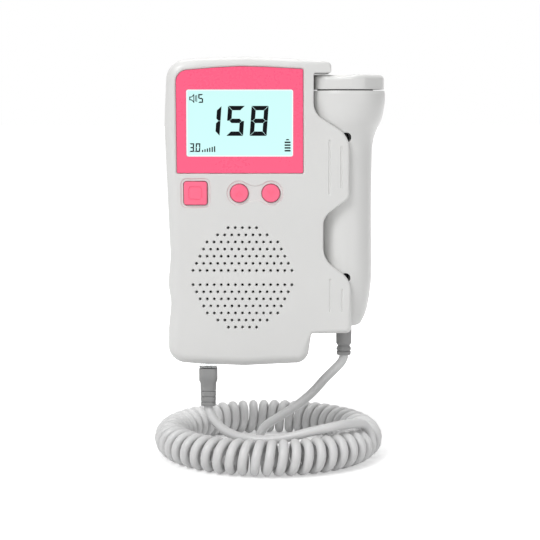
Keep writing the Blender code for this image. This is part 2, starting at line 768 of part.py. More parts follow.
def make_back_shell(finish):
    bm = bmesh.new()
    case_half(bm, seam_y + GAP / 2, 0)
    shell = new_object("back_shell", bm, finish)

    bm = bmesh.new()
    plate(bm, cavity_corners(), seam_y - OVERRUN, -WALL)
    boolean(shell, bm, "cavity")

    bm = bmesh.new()
    for x, z in screw_places(CASE_SCREW_SHARES):
        rod(bm, (x, seam_y + GAP / 2, z), (x, -WALL / 2, z), BACK_BOSS_RADIUS, SMALL_SIDES)
    boolean(shell, bm, "posts", "UNION")

    bm = bmesh.new()
    wall = bay_width / 2 + BAY_WALL
    box(
        bm,
        (bay_x - wall, seam_y + GAP, bay_bottom_z - BAY_WALL),
        (bay_x + wall, -WALL / 2, bay_top_z + BAY_WALL),
    )
    boolean(shell, bm, "bay_block", "UNION")

    bm = bmesh.new()
    cradle_cutter(bm)
    boolean(shell, bm, "cradle")

    bm = bmesh.new()
    middle_z = (door_top_z + door_bottom_z) / 2
    door = rectangle(bay_x, middle_z, door_width, door_top_z - door_bottom_z, DOOR_CORNER)
    plate(bm, door, -DOOR_THICKNESS - GAP, OVERRUN, GAP)
    boolean(shell, bm, "door_recess")

    bm = bmesh.new()
    half = bay_width / 2
    box(bm, (bay_x - half, bay_floor_y, bay_bottom_z), (bay_x + half, OVERRUN, bay_top_z))
    boolean(shell, bm, "battery_bay")

    bm = bmesh.new()
    tab_back = DOOR_TAB_THICKNESS - DOOR_THICKNESS
    for side in (-1, 1):
        x = bay_x + side * DOOR_TAB_SPREAD
        reach = DOOR_TAB_WIDTH / 2 + GAP
        top = door_top_z + DOOR_TAB_REACH + GAP
        box(bm, (x - reach, -2 * DOOR_THICKNESS, bay_top_z), (x + reach, tab_back + GAP, top))
    boolean(shell, bm, "tab_notches")

    bm = bmesh.new()
    for x, z in screw_places(CASE_SCREW_SHARES):
        seat = seam_y + CASE_SCREW_SEAT
        rod(bm, (x, seat, z), (x, OVERRUN, z), CASE_SCREW_HEAD + GAP, SMALL_SIDES)
    boolean(shell, bm, "screw_recesses")

    bm = bmesh.new()
    for x, z in screw_places(CASE_SCREW_SHARES):
        seat = seam_y + CASE_SCREW_SEAT
        rod(bm, (x, seam_y - OVERRUN, z), (x, seat + GAP, z), CASE_SHANK_RADIUS + GAP, HOLE_SIDES)
    boolean(shell, bm, "screw_holes")
    return shell


def screw(name, head, direction, head_radius, head_thickness, shank_radius, shank_length, finish):
    """A screw with its head's underside at this point, driven along +Y or -Y."""
    x, y, z = head
    bm = bmesh.new()
    profile = (
        (y - direction * head_thickness, head_radius),
        (y, head_radius),
        (y, shank_radius),
        (y + direction * shank_length, shank_radius),
    )
    skin(bm, turned_about_y(profile, x, z, SMALL_SIDES))
    return new_object(name, bm, finish)


def make_case_screws(finish):
    for number, (x, z) in enumerate(screw_places(CASE_SCREW_SHARES), 1):
        seat = seam_y + CASE_SCREW_SEAT + GAP
        screw(
            f"case_screw_{number}",
            (x, seat, z),
            -1,
            CASE_SCREW_HEAD,
            CASE_HEAD_THICKNESS,
            CASE_SHANK_RADIUS,
            CASE_SHANK_LENGTH,
            finish,
        )


# Battery bay

def make_battery_door(finish):
    bm = bmesh.new()
    middle_z = (door_top_z + door_bottom_z) / 2
    door = rectangle(bay_x, middle_z, door_width, door_top_z - door_bottom_z, DOOR_CORNER)
    plate(bm, door, -DOOR_THICKNESS, 0)
    door = new_object("battery_door", bm, finish)

    bm = bmesh.new()
    for side in (-1, 1):
        x = bay_x + side * DOOR_TAB_SPREAD
        box(
            bm,
            (x - DOOR_TAB_WIDTH / 2, -DOOR_THICKNESS, door_top_z - DOOR_LEDGE),
            (x + DOOR_TAB_WIDTH / 2, -DOOR_THICKNESS + DOOR_TAB_THICKNESS, door_top_z + DOOR_TAB_REACH),
        )
    boolean(door, bm, "tabs", "UNION")

    bm = bmesh.new()
    for k in range(THUMB_RIDGES):
        z = door_bottom_z + (k + 2) * THUMB_RIDGE_PITCH
        rod(
            bm,
            (bay_x - THUMB_RIDGE_WIDTH / 2, 0, z),
            (bay_x + THUMB_RIDGE_WIDTH / 2, 0, z),
            THUMB_RIDGE_HEIGHT,
            BOX_SIDES,
        )
    boolean(door, bm, "thumb_grooves")
    hinge = Vector((bay_x, 0, door_top_z + GAP / 2))
    for helper in [door] + [m.object for m in door.modifiers]:
        helper.data.transform(Matrix.Translation(-hinge))
        helper.location = hinge
    return door


def battery_rings(x, up):
    """A cell standing in the bay: its positive nub is at the top or at the bottom."""
    low = plate_low_z + GAP
    high = plate_high_z - GAP
    radius = BATTERY_DIAMETER / 2
    if up:
        profile = [
            (high - BATTERY_NUB_LENGTH - BATTERY_LENGTH, radius),
            (high - BATTERY_NUB_LENGTH, radius),
            (high - BATTERY_NUB_LENGTH, BATTERY_NUB_RADIUS),
            (high, BATTERY_NUB_RADIUS),
        ]
    else:
        profile = [
            (low, BATTERY_NUB_RADIUS),
            (low + BATTERY_NUB_LENGTH, BATTERY_NUB_RADIUS),
            (low + BATTERY_NUB_LENGTH, radius),
            (low + BATTERY_NUB_LENGTH + BATTERY_LENGTH, radius),
        ]
    return turned_rings(profile, x, cell_y, ROUND_SIDES)


def make_batteries(finish):
    for name, side, up in (("battery_left", -1, True), ("battery_right", 1, False)):
        bm = bmesh.new()
        skin(bm, battery_rings(bay_x + side * cell_pitch / 2, up))
        new_object(name, bm, finish)


def make_contacts(finish):
    """Flat contact plates at both ends of the bay: one links the cells, two are the terminals."""
    half = CONTACT_SIDE / 2
    left, right = bay_x - cell_pitch / 2, bay_x + cell_pitch / 2
    places = (
        ("battery_link_plate", left - half, right + half, plate_low_z - CONTACT_THICKNESS),
        ("battery_plus_plate", left - half, left + half, plate_high_z),
        ("battery_minus_plate", right - half, right + half, plate_high_z),
    )
    for name, x0, x1, z in places:
        bm = bmesh.new()
        box(bm, (x0, cell_y - half, z), (x1, cell_y + half, z + CONTACT_THICKNESS))
        new_object(name, bm, finish, smooth=False)


def make_springs(finish):
    """Coil springs between the negative ends and their plates."""
    places = (
        ("battery_spring_left", bay_x - cell_pitch / 2, plate_low_z, 1),
        ("battery_spring_right", bay_x + cell_pitch / 2, plate_high_z, -1),
    )
    count = int(SPRING_TURNS * SPRING_POINTS)
    rise = SPRING_LENGTH - SPRING_WIRE - GAP
    for name, x, base, way in places:
        points = []
        for k in range(count + 1):
            share = k / count
            angle = 2 * math.pi * SPRING_TURNS * share
            z = base + way * (GAP + SPRING_WIRE / 2 + rise * share)
            points.append(
                (x + SPRING_RADIUS * math.cos(angle), cell_y + SPRING_RADIUS * math.sin(angle), z)
            )
        tube(name, points, SPRING_WIRE, CURL_RESOLUTION, finish)


# Display

def panel_corners():
    return [
        (x * CASE_WIDTH, z * CASE_HEIGHT, radius * CASE_WIDTH) for x, z, radius in PANEL_CORNER_SHARES
    ]


def make_display(panel_finish, glass_finish, frame_finish, light_finish, strip_finish):
    bm = bmesh.new()
    panel_front = front_y + PANEL_SINK
    plate(bm, panel_corners(), panel_front, panel_front + PANEL_THICKNESS)
    panel = new_object("display_panel", bm, panel_finish)
    bm = bmesh.new()
    window = rectangle(window_x, window_z, window_width, window_height, WINDOW_CORNER)
    plate(bm, window, front_y - OVERRUN, panel_front + PANEL_THICKNESS + OVERRUN)
    boolean(panel, bm, "window")

    glass_width = window_width + 2 * GLASS_BORDER_WIDTH
    glass_height = window_height + 2 * GLASS_BORDER_HEIGHT
    frame_front = inner_y + GAP
    glass_front = frame_front + FRAME_LIP + GAP
    glass_back = glass_front + GLASS_THICKNESS
    low_z, high_z = window_z - glass_height / 2, window_z + glass_height / 2
    left, right = window_x - glass_width / 2, window_x + glass_width / 2

    bm = bmesh.new()
    box(bm, (left, glass_front, low_z), (right, glass_back, high_z))
    new_object("lcd_glass", bm, glass_finish, smooth=False)

    bm = bmesh.new()
    frame_back = board_front_y - GAP
    thick = FRAME_WALL + GAP
    box(bm, (left - thick, frame_front, low_z - thick), (right + thick, frame_back, high_z + thick))
    frame = new_object("lcd_frame", bm, frame_finish, smooth=False)
    bm = bmesh.new()
    room = (left - GAP, frame_front + FRAME_LIP, low_z - GAP), (right + GAP, frame_back + OVERRUN, high_z + GAP)
    box(bm, *room)
    boolean(frame, bm, "room")
    bm = bmesh.new()
    plate(bm, window, frame_front - OVERRUN, frame_back, 2 * GAP)
    boolean(frame, bm, "window")

    bm = bmesh.new()
    light_low = low_z + STRIP_HEIGHT + GAP
    light_back = board_front_y - BACKLIGHT_STANDOFF
    box(bm, (left, glass_back + GAP, light_low), (right, light_back, high_z))
    new_object("lcd_backlight", bm, light_finish, smooth=False)

    bm = bmesh.new()
    box(bm, (left, glass_back + GAP, low_z), (right, board_front_y - GAP, low_z + STRIP_HEIGHT))
    new_object("lcd_contact_strip", bm, strip_finish, smooth=False)


# Buttons and their switches

def button_cap(name, x, flange_corners, cap_steps, finish):
    """A cap through the front wall, with a flange behind the wall and a stem to its switch."""
    flange_front = inner_y + GAP
    flange_back = flange_front + BUTTON_FLANGE_THICKNESS
    bm = bmesh.new()
    skin(bm, cap_steps)
    cap = new_object(name, bm, finish)
    bm = bmesh.new()
    plate(bm, flange_corners, flange_front, flange_back)
    boolean(cap, bm, "flange", "UNION")
    bm = bmesh.new()
    stem_end = board_front_y - GAP - SWITCH_HEIGHT - PLUNGER_PROUD - GAP
    middle = (flange_front + flange_back) / 2
    rod(bm, (x, middle, button_z), (x, stem_end, button_z), STEM_RADIUS, SMALL_SIDES)
    boolean(cap, bm, "stem", "UNION")
    place = Vector((x, inner_y, button_z))
    for helper in [cap] + [m.object for m in cap.modifiers]:
        helper.data.transform(Matrix.Translation(-place))
        helper.location = place
    return cap


def outline_rings(corners, steps):
    """Rings of a rounded outline at each (depth, growth)."""
    outline = rounded(corners)
    return [[(*(p + n * grow), y) for p, n, _ in outline] for y, grow in steps]


def make_buttons(finish):
    middle = inner_y + GAP + BUTTON_FLANGE_THICKNESS / 2
    top = front_y - BUTTON_PROUD
    steps = ((middle, 0.0), (top + BUTTON_EDGE, 0.0), (top, -BUTTON_EDGE))
    x = POWER_X_SHARE * CASE_WIDTH
    cap = rectangle(x, button_z, POWER_SIDE, POWER_SIDE, POWER_CORNER)
    flange_side = POWER_SIDE + 2 * BUTTON_FLANGE
    flange = rectangle(x, button_z, flange_side, flange_side, POWER_CORNER)
    rings = [[(a, y, b) for a, b, y in ring] for ring in outline_rings(cap, steps)]
    button_cap("power_button", x, flange, rings, finish)
    for name, share in (("volume_up_button", UP_X_SHARE), ("volume_down_button", DOWN_X_SHARE)):
        x = share * CASE_WIDTH
        profile = [(y, VOLUME_RADIUS + grow) for y, grow in steps]
        rings = turned_about_y(profile, x, button_z, ROUND_SIDES)
        side = 2 * (VOLUME_RADIUS + BUTTON_FLANGE)
        flange = rectangle(x, button_z, side, side, VOLUME_RADIUS)
        button_cap(name, x, flange, rings, finish)


def make_switches(housing_finish, plunger_finish):
    back = board_front_y - GAP
    front = back - SWITCH_HEIGHT
    half = SWITCH_SIDE / 2
    bore_end = front + PLUNGER_DEPTH + BUTTON_TRAVEL + GAP
    for name, share in (("power", POWER_X_SHARE), ("volume_up", UP_X_SHARE), ("volume_down", DOWN_X_SHARE)):
        x = share * CASE_WIDTH
        bm = bmesh.new()
        box(bm, (x - half, front, button_z - half), (x + half, back, button_z + half))
        housing = new_object(f"{name}_switch", bm, housing_finish, smooth=False)
        bm = bmesh.new()
        rod(bm, (x, front - OVERRUN, button_z), (x, bore_end, button_z), PLUNGER_RADIUS + GAP, SMALL_SIDES)
        boolean(housing, bm, "bore")
        bm = bmesh.new()
        ends = (x, front - PLUNGER_PROUD, button_z), (x, front + PLUNGER_DEPTH, button_z)
        rod(bm, *ends, PLUNGER_RADIUS, SMALL_SIDES)
        new_object(f"{name}_plunger", bm, plunger_finish)


# Main board

def make_main_board(board_finish, chip_finish, screw_finish):
    top, bottom = BOARD_TOP_SHARE * CASE_HEIGHT, BOARD_BOTTOM_SHARE * CASE_HEIGHT
    left, right = cavity_left + BOARD_MARGIN, cavity_right_head - BOARD_MARGIN
    bm = bmesh.new()
    box(bm, (left, board_front_y, bottom), (right, board_back_y, top))
    board = new_object("main_board", bm, board_finish, smooth=False)
    bm = bmesh.new()
    for x, z in screw_places(BOARD_SCREW_SHARES):
        ends = (x, board_front_y - OVERRUN, z), (x, board_back_y + OVERRUN, z)
        rod(bm, *ends, BOARD_SHANK_RADIUS + GAP, HOLE_SIDES)
    boolean(board, bm, "holes")

    bm = bmesh.new()
    x, z = CHIP_X_SHARE * CASE_WIDTH, CHIP_Z_SHARE * CASE_HEIGHT
    half = CHIP_SIDE / 2
    low_y = board_back_y + GAP
    box(bm, (x - half, low_y, z - half), (x + half, low_y + CHIP_THICKNESS, z + half))
    new_object("signal_chip", bm, chip_finish, smooth=False)

    for number, (x, z) in enumerate(screw_places(BOARD_SCREW_SHARES), 1):
        screw(
            f"board_screw_{number}",
            (x, board_back_y + GAP, z),
            -1,
            BOARD_SCREW_HEAD,
            SCREW_HEAD_THICKNESS,
            BOARD_SHANK_RADIUS,
            BOARD_SHANK_LENGTH,
            screw_finish,
        )


# Speaker

def make_speaker(basket_finish, cone_finish, magnet_finish):
    front = inner_y + GAP
    flange_back = front + SPEAKER_FLANGE
    basket_back = front + BASKET_DEPTH
    neck = MAGNET_RADIUS + BASKET_WALL
    bm = bmesh.new()
    outer = (
        (front, SPEAKER_RADIUS),
        (flange_back, SPEAKER_RADIUS),
        (flange_back, SPEAKER_RADIUS - 2 * BASKET_WALL),
        (basket_back, neck),
    )
    skin(bm, turned_about_y(outer, grille_x, grille_z, ROUND_SIDES))
    basket = new_object("speaker_basket", bm, basket_finish)
    bm = bmesh.new()
    inner = (
        (front - OVERRUN, SPEAKER_RADIUS - 3 * BASKET_WALL),
        (flange_back, SPEAKER_RADIUS - 3 * BASKET_WALL),
        (basket_back - BASKET_WALL, neck - BASKET_WALL),
    )
    skin(bm, turned_about_y(inner, grille_x, grille_z, ROUND_SIDES))
    boolean(basket, bm, "bowl")

    bm = bmesh.new()
    rim = SPEAKER_RADIUS - 3 * BASKET_WALL - GAP
    tip = neck - BASKET_WALL - GAP
    cone = (
        (front, rim),
        (flange_back - GAP, rim),
        (basket_back - BASKET_WALL - 2 * GAP, tip),
    )
    skin(bm, turned_about_y(cone, grille_x, grille_z, ROUND_SIDES))
    paper = new_object("speaker_cone", bm, cone_finish)
    bm = bmesh.new()
    hollow = (
        (front - OVERRUN, rim - BASKET_WALL),
        (front, rim - BASKET_WALL),
        (basket_back - 3 * BASKET_WALL, tip - BASKET_WALL),
    )
    skin(bm, turned_about_y(hollow, grille_x, grille_z, ROUND_SIDES))
    boolean(paper, bm, "hollow")

    bm = bmesh.new()
    magnet_back = seam_y - GAP
    ends = (grille_x, basket_back + GAP, grille_z), (grille_x, magnet_back, grille_z)
    rod(bm, *ends, MAGNET_RADIUS, ROUND_SIDES)
    new_object("speaker_magnet", bm, magnet_finish)


# Probe

def probe_screw_heights():
    return [probe_bottom_z + share * probe_length for share in PROBE_SCREW_SHARES]


def make_probe_shell(name, side, finish):
    """Half of the probe's shell, in front of its axis (side -1) or behind it (side 1)."""
    profile = probe_profile()
    bm = bmesh.new()
    skin(bm, turned_rings(profile, probe_x, probe_y, PROBE_SIDES))
    shell = new_object(name, bm, finish)

    bm = bmesh.new()
    inside = [(z, r - PROBE_WALL) for z, r in profile[2::2] if z > probe_bottom_z + 2 * PROBE_WALL]
    inside.append((cap_bottom_z + OVERRUN, inside[-1][1]))
    skin(bm, turned_rings(inside, probe_x, probe_y, PROBE_SIDES))
    boolean(shell, bm, "hollow")

    bm = bmesh.new()
    for z in probe_screw_heights():
        wall_y = probe_y + side * (HANDLE_RADIUS - PROBE_WALL / 2)
        rod(bm, (probe_x, probe_y, z), (probe_x, wall_y, z), PROBE_BOSS_RADIUS, SMALL_SIDES)
    boolean(shell, bm, "bosses", "UNION")

    bm = bmesh.new()
    neck_z = probe_bottom_z + 2 * PROBE_WALL
    neck = BOOT_NECK_RADIUS + GAP
    rod(
        bm,
        (probe_x, probe_y, probe_bottom_z - OVERRUN),
        (probe_x, probe_y, neck_z + OVERRUN),
        neck,
        SMALL_SIDES,
    )
    boolean(shell, bm, "cord_hole")

    bm = bmesh.new()
    seat = probe_y - PROBE_SCREW_SEAT
    if side < 0:
        for z in probe_screw_heights():
            ends = (probe_x, seat, z), (probe_x, probe_y - 2 * HEAD_RADIUS, z)
            rod(bm, *ends, PROBE_SCREW_HOLE_RADIUS, SMALL_SIDES)
        boolean(shell, bm, "screw_recesses")
        bm = bmesh.new()
    for z in probe_screw_heights():
        shank = PROBE_SHANK_RADIUS + GAP
        shank_end = seat + PROBE_SHANK_LENGTH + 3 * GAP
        rod(bm, (probe_x, seat - GAP, z), (probe_x, shank_end, z), shank, HOLE_SIDES)
    boolean(shell, bm, "screw_holes")

    bm = bmesh.new()
    wide = 2 * HEAD_RADIUS
    cut_y = probe_y + side * GAP / 2
    far_y = probe_y - side * wide
    low_y, high_y = min(cut_y, far_y), max(cut_y, far_y)
    box(
        bm,
        (probe_x - wide, low_y, probe_bottom_z - wide),
        (probe_x + wide, high_y, probe_top_z + wide),
    )
    boolean(shell, bm, "other_half")
    return shell


def cap_radius(angle, z):
    """The fluted cap's radius: flutes at the front and every sixth of a turn, deepest at the rim."""
    height = (z - cap_bottom_z) / CAP_HEIGHT
    flute = CAP_FLUTE_DEPTH * (0.5 + 0.5 * math.cos(CAP_LOBES * angle)) * height**2
    return cap_outer - flute


def make_cap(finish):
    sides = CAP_LOBES * CAP_LOBE_STEPS
    low = cap_bottom_z + GAP
    shoulder = probe_top_z - CAP_ROUNDING
    steps = [(low, CAP_FOOT_HEIGHT), (low + CAP_FOOT_HEIGHT, 0.0), (shoulder, 0.0)]
    for k in range(1, ROUNDING_STEPS + 1):
        angle = math.pi / 2 * k / ROUNDING_STEPS
        steps.append((shoulder + CAP_ROUNDING * math.sin(angle), CAP_ROUNDING * (1 - math.cos(angle))))
    rings = []
    for z, inset in steps:
        ring = []
        for k in range(sides):
            angle = 2 * math.pi * k / sides
            r = cap_radius(angle, z) - inset
            ring.append((probe_x + r * math.sin(angle), probe_y - r * math.cos(angle), z))
        rings.append(ring)
    bm = bmesh.new()
    skin(bm, rings)
    cap = new_object("probe_cap", bm, finish)
    bm = bmesh.new()
    ledge_z = probe_top_z - FACE_SINK - FACE_THICKNESS - GAP
    bore = (
        (cap_bottom_z - OVERRUN, face_radius - FACE_LEDGE),
        (ledge_z, face_radius - FACE_LEDGE),
        (ledge_z, face_radius + GAP),
        (probe_top_z + OVERRUN, face_radius + GAP),
    )
    skin(bm, turned_rings(bore, probe_x, probe_y, ROUND_SIDES))
    boolean(cap, bm, "bore")
    return cap


def make_transducer(face_finish, crystal_finish, backing_finish):
    face_top = probe_top_z - FACE_SINK
    face_low = face_top - FACE_THICKNESS
    bm = bmesh.new()
    dome = (
        (face_low, face_radius),
        (face_top - FACE_SINK, face_radius),
        (face_top, face_radius - FACE_LEDGE),
    )
    skin(bm, turned_rings(dome, probe_x, probe_y, ROUND_SIDES))
    new_object("probe_face", bm, face_finish)

    radius = face_radius - FACE_LEDGE - GAP
    top = face_low - GAP
    low = top - CRYSTAL_THICKNESS
    half = ROUND_SIDES // 2
    for name, side in (("transmit_crystal", -1), ("receive_crystal", 1)):
        outline = []
        for k in range(half + 1):
            angle = math.pi * k / half
            x = side * (CRYSTAL_SPLIT / 2 + (radius - CRYSTAL_SPLIT) * math.sin(angle))
            outline.append((probe_x + x, probe_y + (radius - CRYSTAL_SPLIT) * math.cos(angle)))
        bm = bmesh.new()
        skin(bm, [[(x, y, z) for x, y in outline] for z in (low, top)])
        new_object(name, bm, crystal_finish)

    bm = bmesh.new()
    rod(
        bm,
        (probe_x, probe_y, low - GAP - BACKING_THICKNESS),
        (probe_x, probe_y, low - GAP),
        radius,
        ROUND_SIDES,
    )
    new_object("crystal_backing", bm, backing_finish)


def make_probe_board(finish):
    low = probe_bottom_z + PROBE_BOARD_BOTTOM_SHARE * probe_length
    high = low + PROBE_BOARD_LENGTH
    half_thickness = PROBE_BOARD_THICKNESS / 2
    inside = HANDLE_RADIUS * HANDLE_SHARES[-1][1] - PROBE_WALL
    half = inside * math.cos(math.pi / PROBE_SIDES) - GAP
    bm = bmesh.new()
    box(
        bm,
        (probe_x - half, probe_y - half_thickness, low),
        (probe_x + half, probe_y + half_thickness, high),
    )
    new_object("probe_board", bm, finish, smooth=False)


def make_probe_screws(finish):
    for name, z in zip(("probe_screw_upper", "probe_screw_lower"), probe_screw_heights()):
        screw(
            name,
            (probe_x, probe_y - PROBE_SCREW_SEAT - GAP, z),
            1,
            PROBE_SCREW_HEAD_RADIUS,
            SCREW_HEAD_THICKNESS,
            PROBE_SHANK_RADIUS,
            PROBE_SHANK_LENGTH,
            finish,
        )


def make_probe_boot(finish):
    profile = [(boot_top_z + BOOT_NECK_LENGTH, BOOT_NECK_RADIUS), (boot_top_z, BOOT_NECK_RADIUS)]
    profile += [(boot_top_z - at * BOOT_LENGTH, BOOT_RADIUS * r) for at, r in BOOT_RIB_SHARES]
    bm = bmesh.new()
    skin(bm, turned_rings(profile, probe_x, probe_y, SMALL_SIDES + BOX_SIDES))
    new_object("probe_boot", bm, finish)


# Cord jack and plug

def make_cord_jack(finish):
    bm = bmesh.new()
    half = JACK_WIDTH / 2
    box(bm, (jack_x - half, jack_front_y, jack_bottom_z), (jack_x + half, jack_back_y, jack_top_z))
    jack = new_object("cord_jack", bm, finish, smooth=False)
    bm = bmesh.new()
    reach = PLUG_WIDTH / 2 + GAP
    box(
        bm,
        (jack_x - reach, plug_y - PLUG_DEPTH / 2 - GAP, jack_bottom_z - OVERRUN),
        (jack_x + reach, plug_y + PLUG_DEPTH / 2 + GAP, plug_top_z + GAP),
    )
    boolean(jack, bm, "mouth")
    bm = bmesh.new()
    reach = LATCH_WIDTH / 2 + GAP
    box(
        bm,
        (jack_x - reach, plug_y, jack_bottom_z - OVERRUN),
        (jack_x + reach, notch_back_y, plug_top_z),
    )
    boolean(jack, bm, "latch_notch")
    return jack


def make_plug(body_finish, contact_finish, boot_finish):
    bm = bmesh.new()
    corners = rectangle(0, 0, PLUG_WIDTH, PLUG_DEPTH, PLUG_CORNER)
    outline = [p for p, _, _ in rounded(corners)]
    skin(bm, [[(jack_x + p.x, plug_y + p.y, z) for p in outline] for z in (plug_bottom_z, plug_top_z)])
    body = new_object("plug_body", bm, body_finish)
    bm = bmesh.new()
    front = plug_y - PLUG_DEPTH / 2
    slot_top = plug_top_z - BLADE_SETBACK
    slot_bottom = slot_top - BLADE_LENGTH
    for k in range(CONTACT_COUNT):
        x = jack_x + (k - (CONTACT_COUNT - 1) / 2) * CONTACT_PITCH
        reach = BLADE_THICKNESS / 2 + GAP / 2
        box(
            bm,
            (x - reach, front - OVERRUN, slot_bottom - GAP),
            (x + reach, front + BLADE_DEPTH + GAP, slot_top + GAP),
        )
    boolean(body, bm, "blade_slots")
    for k in range(CONTACT_COUNT):
        x = jack_x + (k - (CONTACT_COUNT - 1) / 2) * CONTACT_PITCH
        bm = bmesh.new()
        box(
            bm,
            (x - BLADE_THICKNESS / 2, front + GAP, slot_bottom),
            (x + BLADE_THICKNESS / 2, front + BLADE_DEPTH, slot_top),
        )
        new_object(f"plug_contact_{k + 1}", bm, contact_finish, smooth=False)

    bm = bmesh.new()
    half = LATCH_WIDTH / 2
    latch_bottom = latch_top_z - LATCH_LENGTH
    section = (
        (latch_y, latch_top_z),
        (latch_y + LATCH_THICKNESS, latch_top_z),
        (latch_y + LATCH_THICKNESS + LATCH_SPLAY, latch_bottom),
        (latch_y + LATCH_SPLAY, latch_bottom),
    )
    skin(bm, [[(x, y, z) for y, z in section] for x in (jack_x - half, jack_x + half)])
    latch = new_object("plug_latch", bm, body_finish, smooth=False)
    hinge = Vector((jack_x, latch_y, latch_top_z))
    latch.data.transform(Matrix.Translation(-hinge))
    latch.location = hinge

    bm = bmesh.new()
    rings = []
    for at, share in PLUG_BOOT_SHARES:
        width, depth = PLUG_BOOT_WIDTH * share, PLUG_BOOT_DEPTH * share
        corners = rectangle(0, 0, width, depth, PLUG_BOOT_CORNER)
        z = plug_boot_top_z - at * PLUG_BOOT_LENGTH
        outline = rounded(corners, COARSE_STEP)
        rings.append([(jack_x + p.x, plug_y + p.y, z) for p, _, _ in outline])
    skin(bm, rings)
    new_object("plug_boot", bm, boot_finish)


# Cord

def tube(name, points, diameter, resolution, finish):
    """A round tube through these points, with closed ends."""
    curve = bpy.data.curves.new(name, "CURVE")
    curve.dimensions = "3D"
    curve.bevel_depth = diameter / 2
    curve.bevel_resolution = resolution
    curve.use_fill_caps = True
    spline = curve.splines.new("POLY")
    spline.points.add(len(points) - 1)
    for place, point in zip(spline.points, points):
        place.co = (*point, 1.0)
        place.radius = 1.0
    curve.materials.append(finish)
    made = bpy.data.objects.new(name, curve)
    bpy.context.scene.collection.objects.link(made)
    return made


def crowded(share):
    """The share of the way round at this share of the curls, which crowd at the front and back."""
    sweep = 2 * math.pi - (PROBE_END_ANGLE - PLUG_END_ANGLE)
    swing = CURL_CROWDING / (2 * sweep)
    start = math.sin(2 * PLUG_END_ANGLE)
    whole = 1 + swing * (math.sin(2 * PLUG_END_ANGLE - 2 * sweep) - start)
    place = share
    for _ in range(CROWDING_ROUNDS):
        place = share * whole - swing * (math.sin(2 * PLUG_END_ANGLE - 2 * sweep * place) - start)
    return PLUG_END_ANGLE - sweep * place


def coil_point(share):
    """A point on the coil's centreline, from the plug's end (0) round to the probe's end (1)."""
    around = crowded(share)
    whole = 2 * math.pi * CURLS + (PLUG_END_PHASE - PROBE_END_PHASE)
    phase = PLUG_END_PHASE - whole * share
    curl = CURL_RADIUS * (1 - END_TAPER * max(0.0, 1 - share * CURLS / END_CURLS) ** 2)
    reach = RING_RADIUS + curl * math.cos(phase)
    return Vector((
        RING_CENTRE_X + reach * math.cos(around),
        RING_CENTRE_Y + reach * math.sin(around),
        -RING_DROP - (CURL_RADIUS - curl) + curl * math.sin(phase),
    ))


def coil_centreline(points_per_curl):
    """Points on the centreline, with half a step at each end so that the ends are cut squarely."""
    count = CURLS * points_per_curl
    steps = [0, 0.5, *range(1, count), count - 0.5, count]
    return [coil_point(k / count) for k in steps]


def coil_ends():
    """The ends of the coil's centreline, and the directions they point in."""
    line = coil_centreline(CURL_POINTS)
    return [(at, (at - beside).normalized()) for at, beside in (line[:2], line[:-3:-1])]


def smooth_route(points, spacing):
    """Points about one spacing apart on the smooth curve through all but the two end points."""
    fine = []
    parts = 16
    for a, b, c, d in zip(points, points[1:], points[2:], points[3:]):
        for k in range(parts):
            t = k / parts
            fine.append(
                0.5 * (2 * b + (c - a) * t + (2 * a - 5 * b + 4 * c - d) * t**2 + (3 * b - a - 3 * c + d) * t**3)
            )
    fine.append(points[-2])
    line = np.array([tuple(p) for p in fine])
    along = np.concatenate([[0.0], np.cumsum(np.linalg.norm(np.diff(line, axis=0), axis=1))])
    at = np.linspace(0.0, along[-1], max(2, round(along[-1] / spacing) + 1))
    return np.stack([np.interp(at, along, line[:, k]) for k in range(3)], axis=1), along[-1]


def lead(name, start, start_way, route, end, end_way, finish):
    """A lead along its route, which leaves both ends squarely."""
    points = [start, start + start_way * LEAD_STRAIGHT]
    points += [Vector(p) for p in route]
    points += [end + end_way * LEAD_STRAIGHT, end]
    line, length = smooth_route(points, LEAD_POINT_SPACING)
    tube(name, [start, *(tuple(p) for p in line), end], CORD_DIAMETER, LEAD_RESOLUTION, finish)
    print(f"{name}: {length + 2 * LEAD_STRAIGHT:.4f} m long, {len(line) + 2} points")


def make_cord(finish):
    centreline = coil_centreline(CURL_POINTS)
    (plug_end, plug_way), (probe_end, probe_way) = coil_ends()
    tube("curly_cord", centreline, CORD_DIAMETER, CURL_RESOLUTION, finish)
    down = Vector((0, 0, -1))
    start = Vector((jack_x, plug_y, plug_boot_end_z - GAP))
    lead("plug_lead", start, down, PLUG_LEAD_ROUTE, plug_end + plug_way * GAP, plug_way, finish)
    start = Vector((probe_x, probe_y, boot_end_z - GAP))
    lead("probe_lead", start, down, PROBE_LEAD_ROUTE, probe_end + probe_way * GAP, probe_way, finish)
    print_coil_facts()


def print_coil_facts():
    """Measures the coil's length and its least gap to itself, on points of its centreline."""
    per_curl = 60
    line = np.array([tuple(p) for p in coil_centreline(per_curl)])
    length = np.linalg.norm(np.diff(line, axis=0), axis=1).sum()
    least = math.inf
    for shift in range(per_curl // 2, 3 * per_curl // 2):
        least = min(least, np.linalg.norm(line[shift:] - line[:-shift], axis=1).min())
    print(f"curly_cord: {length:.3f} m of cord, least gap to itself {1000 * (least - CORD_DIAMETER):.2f} mm")


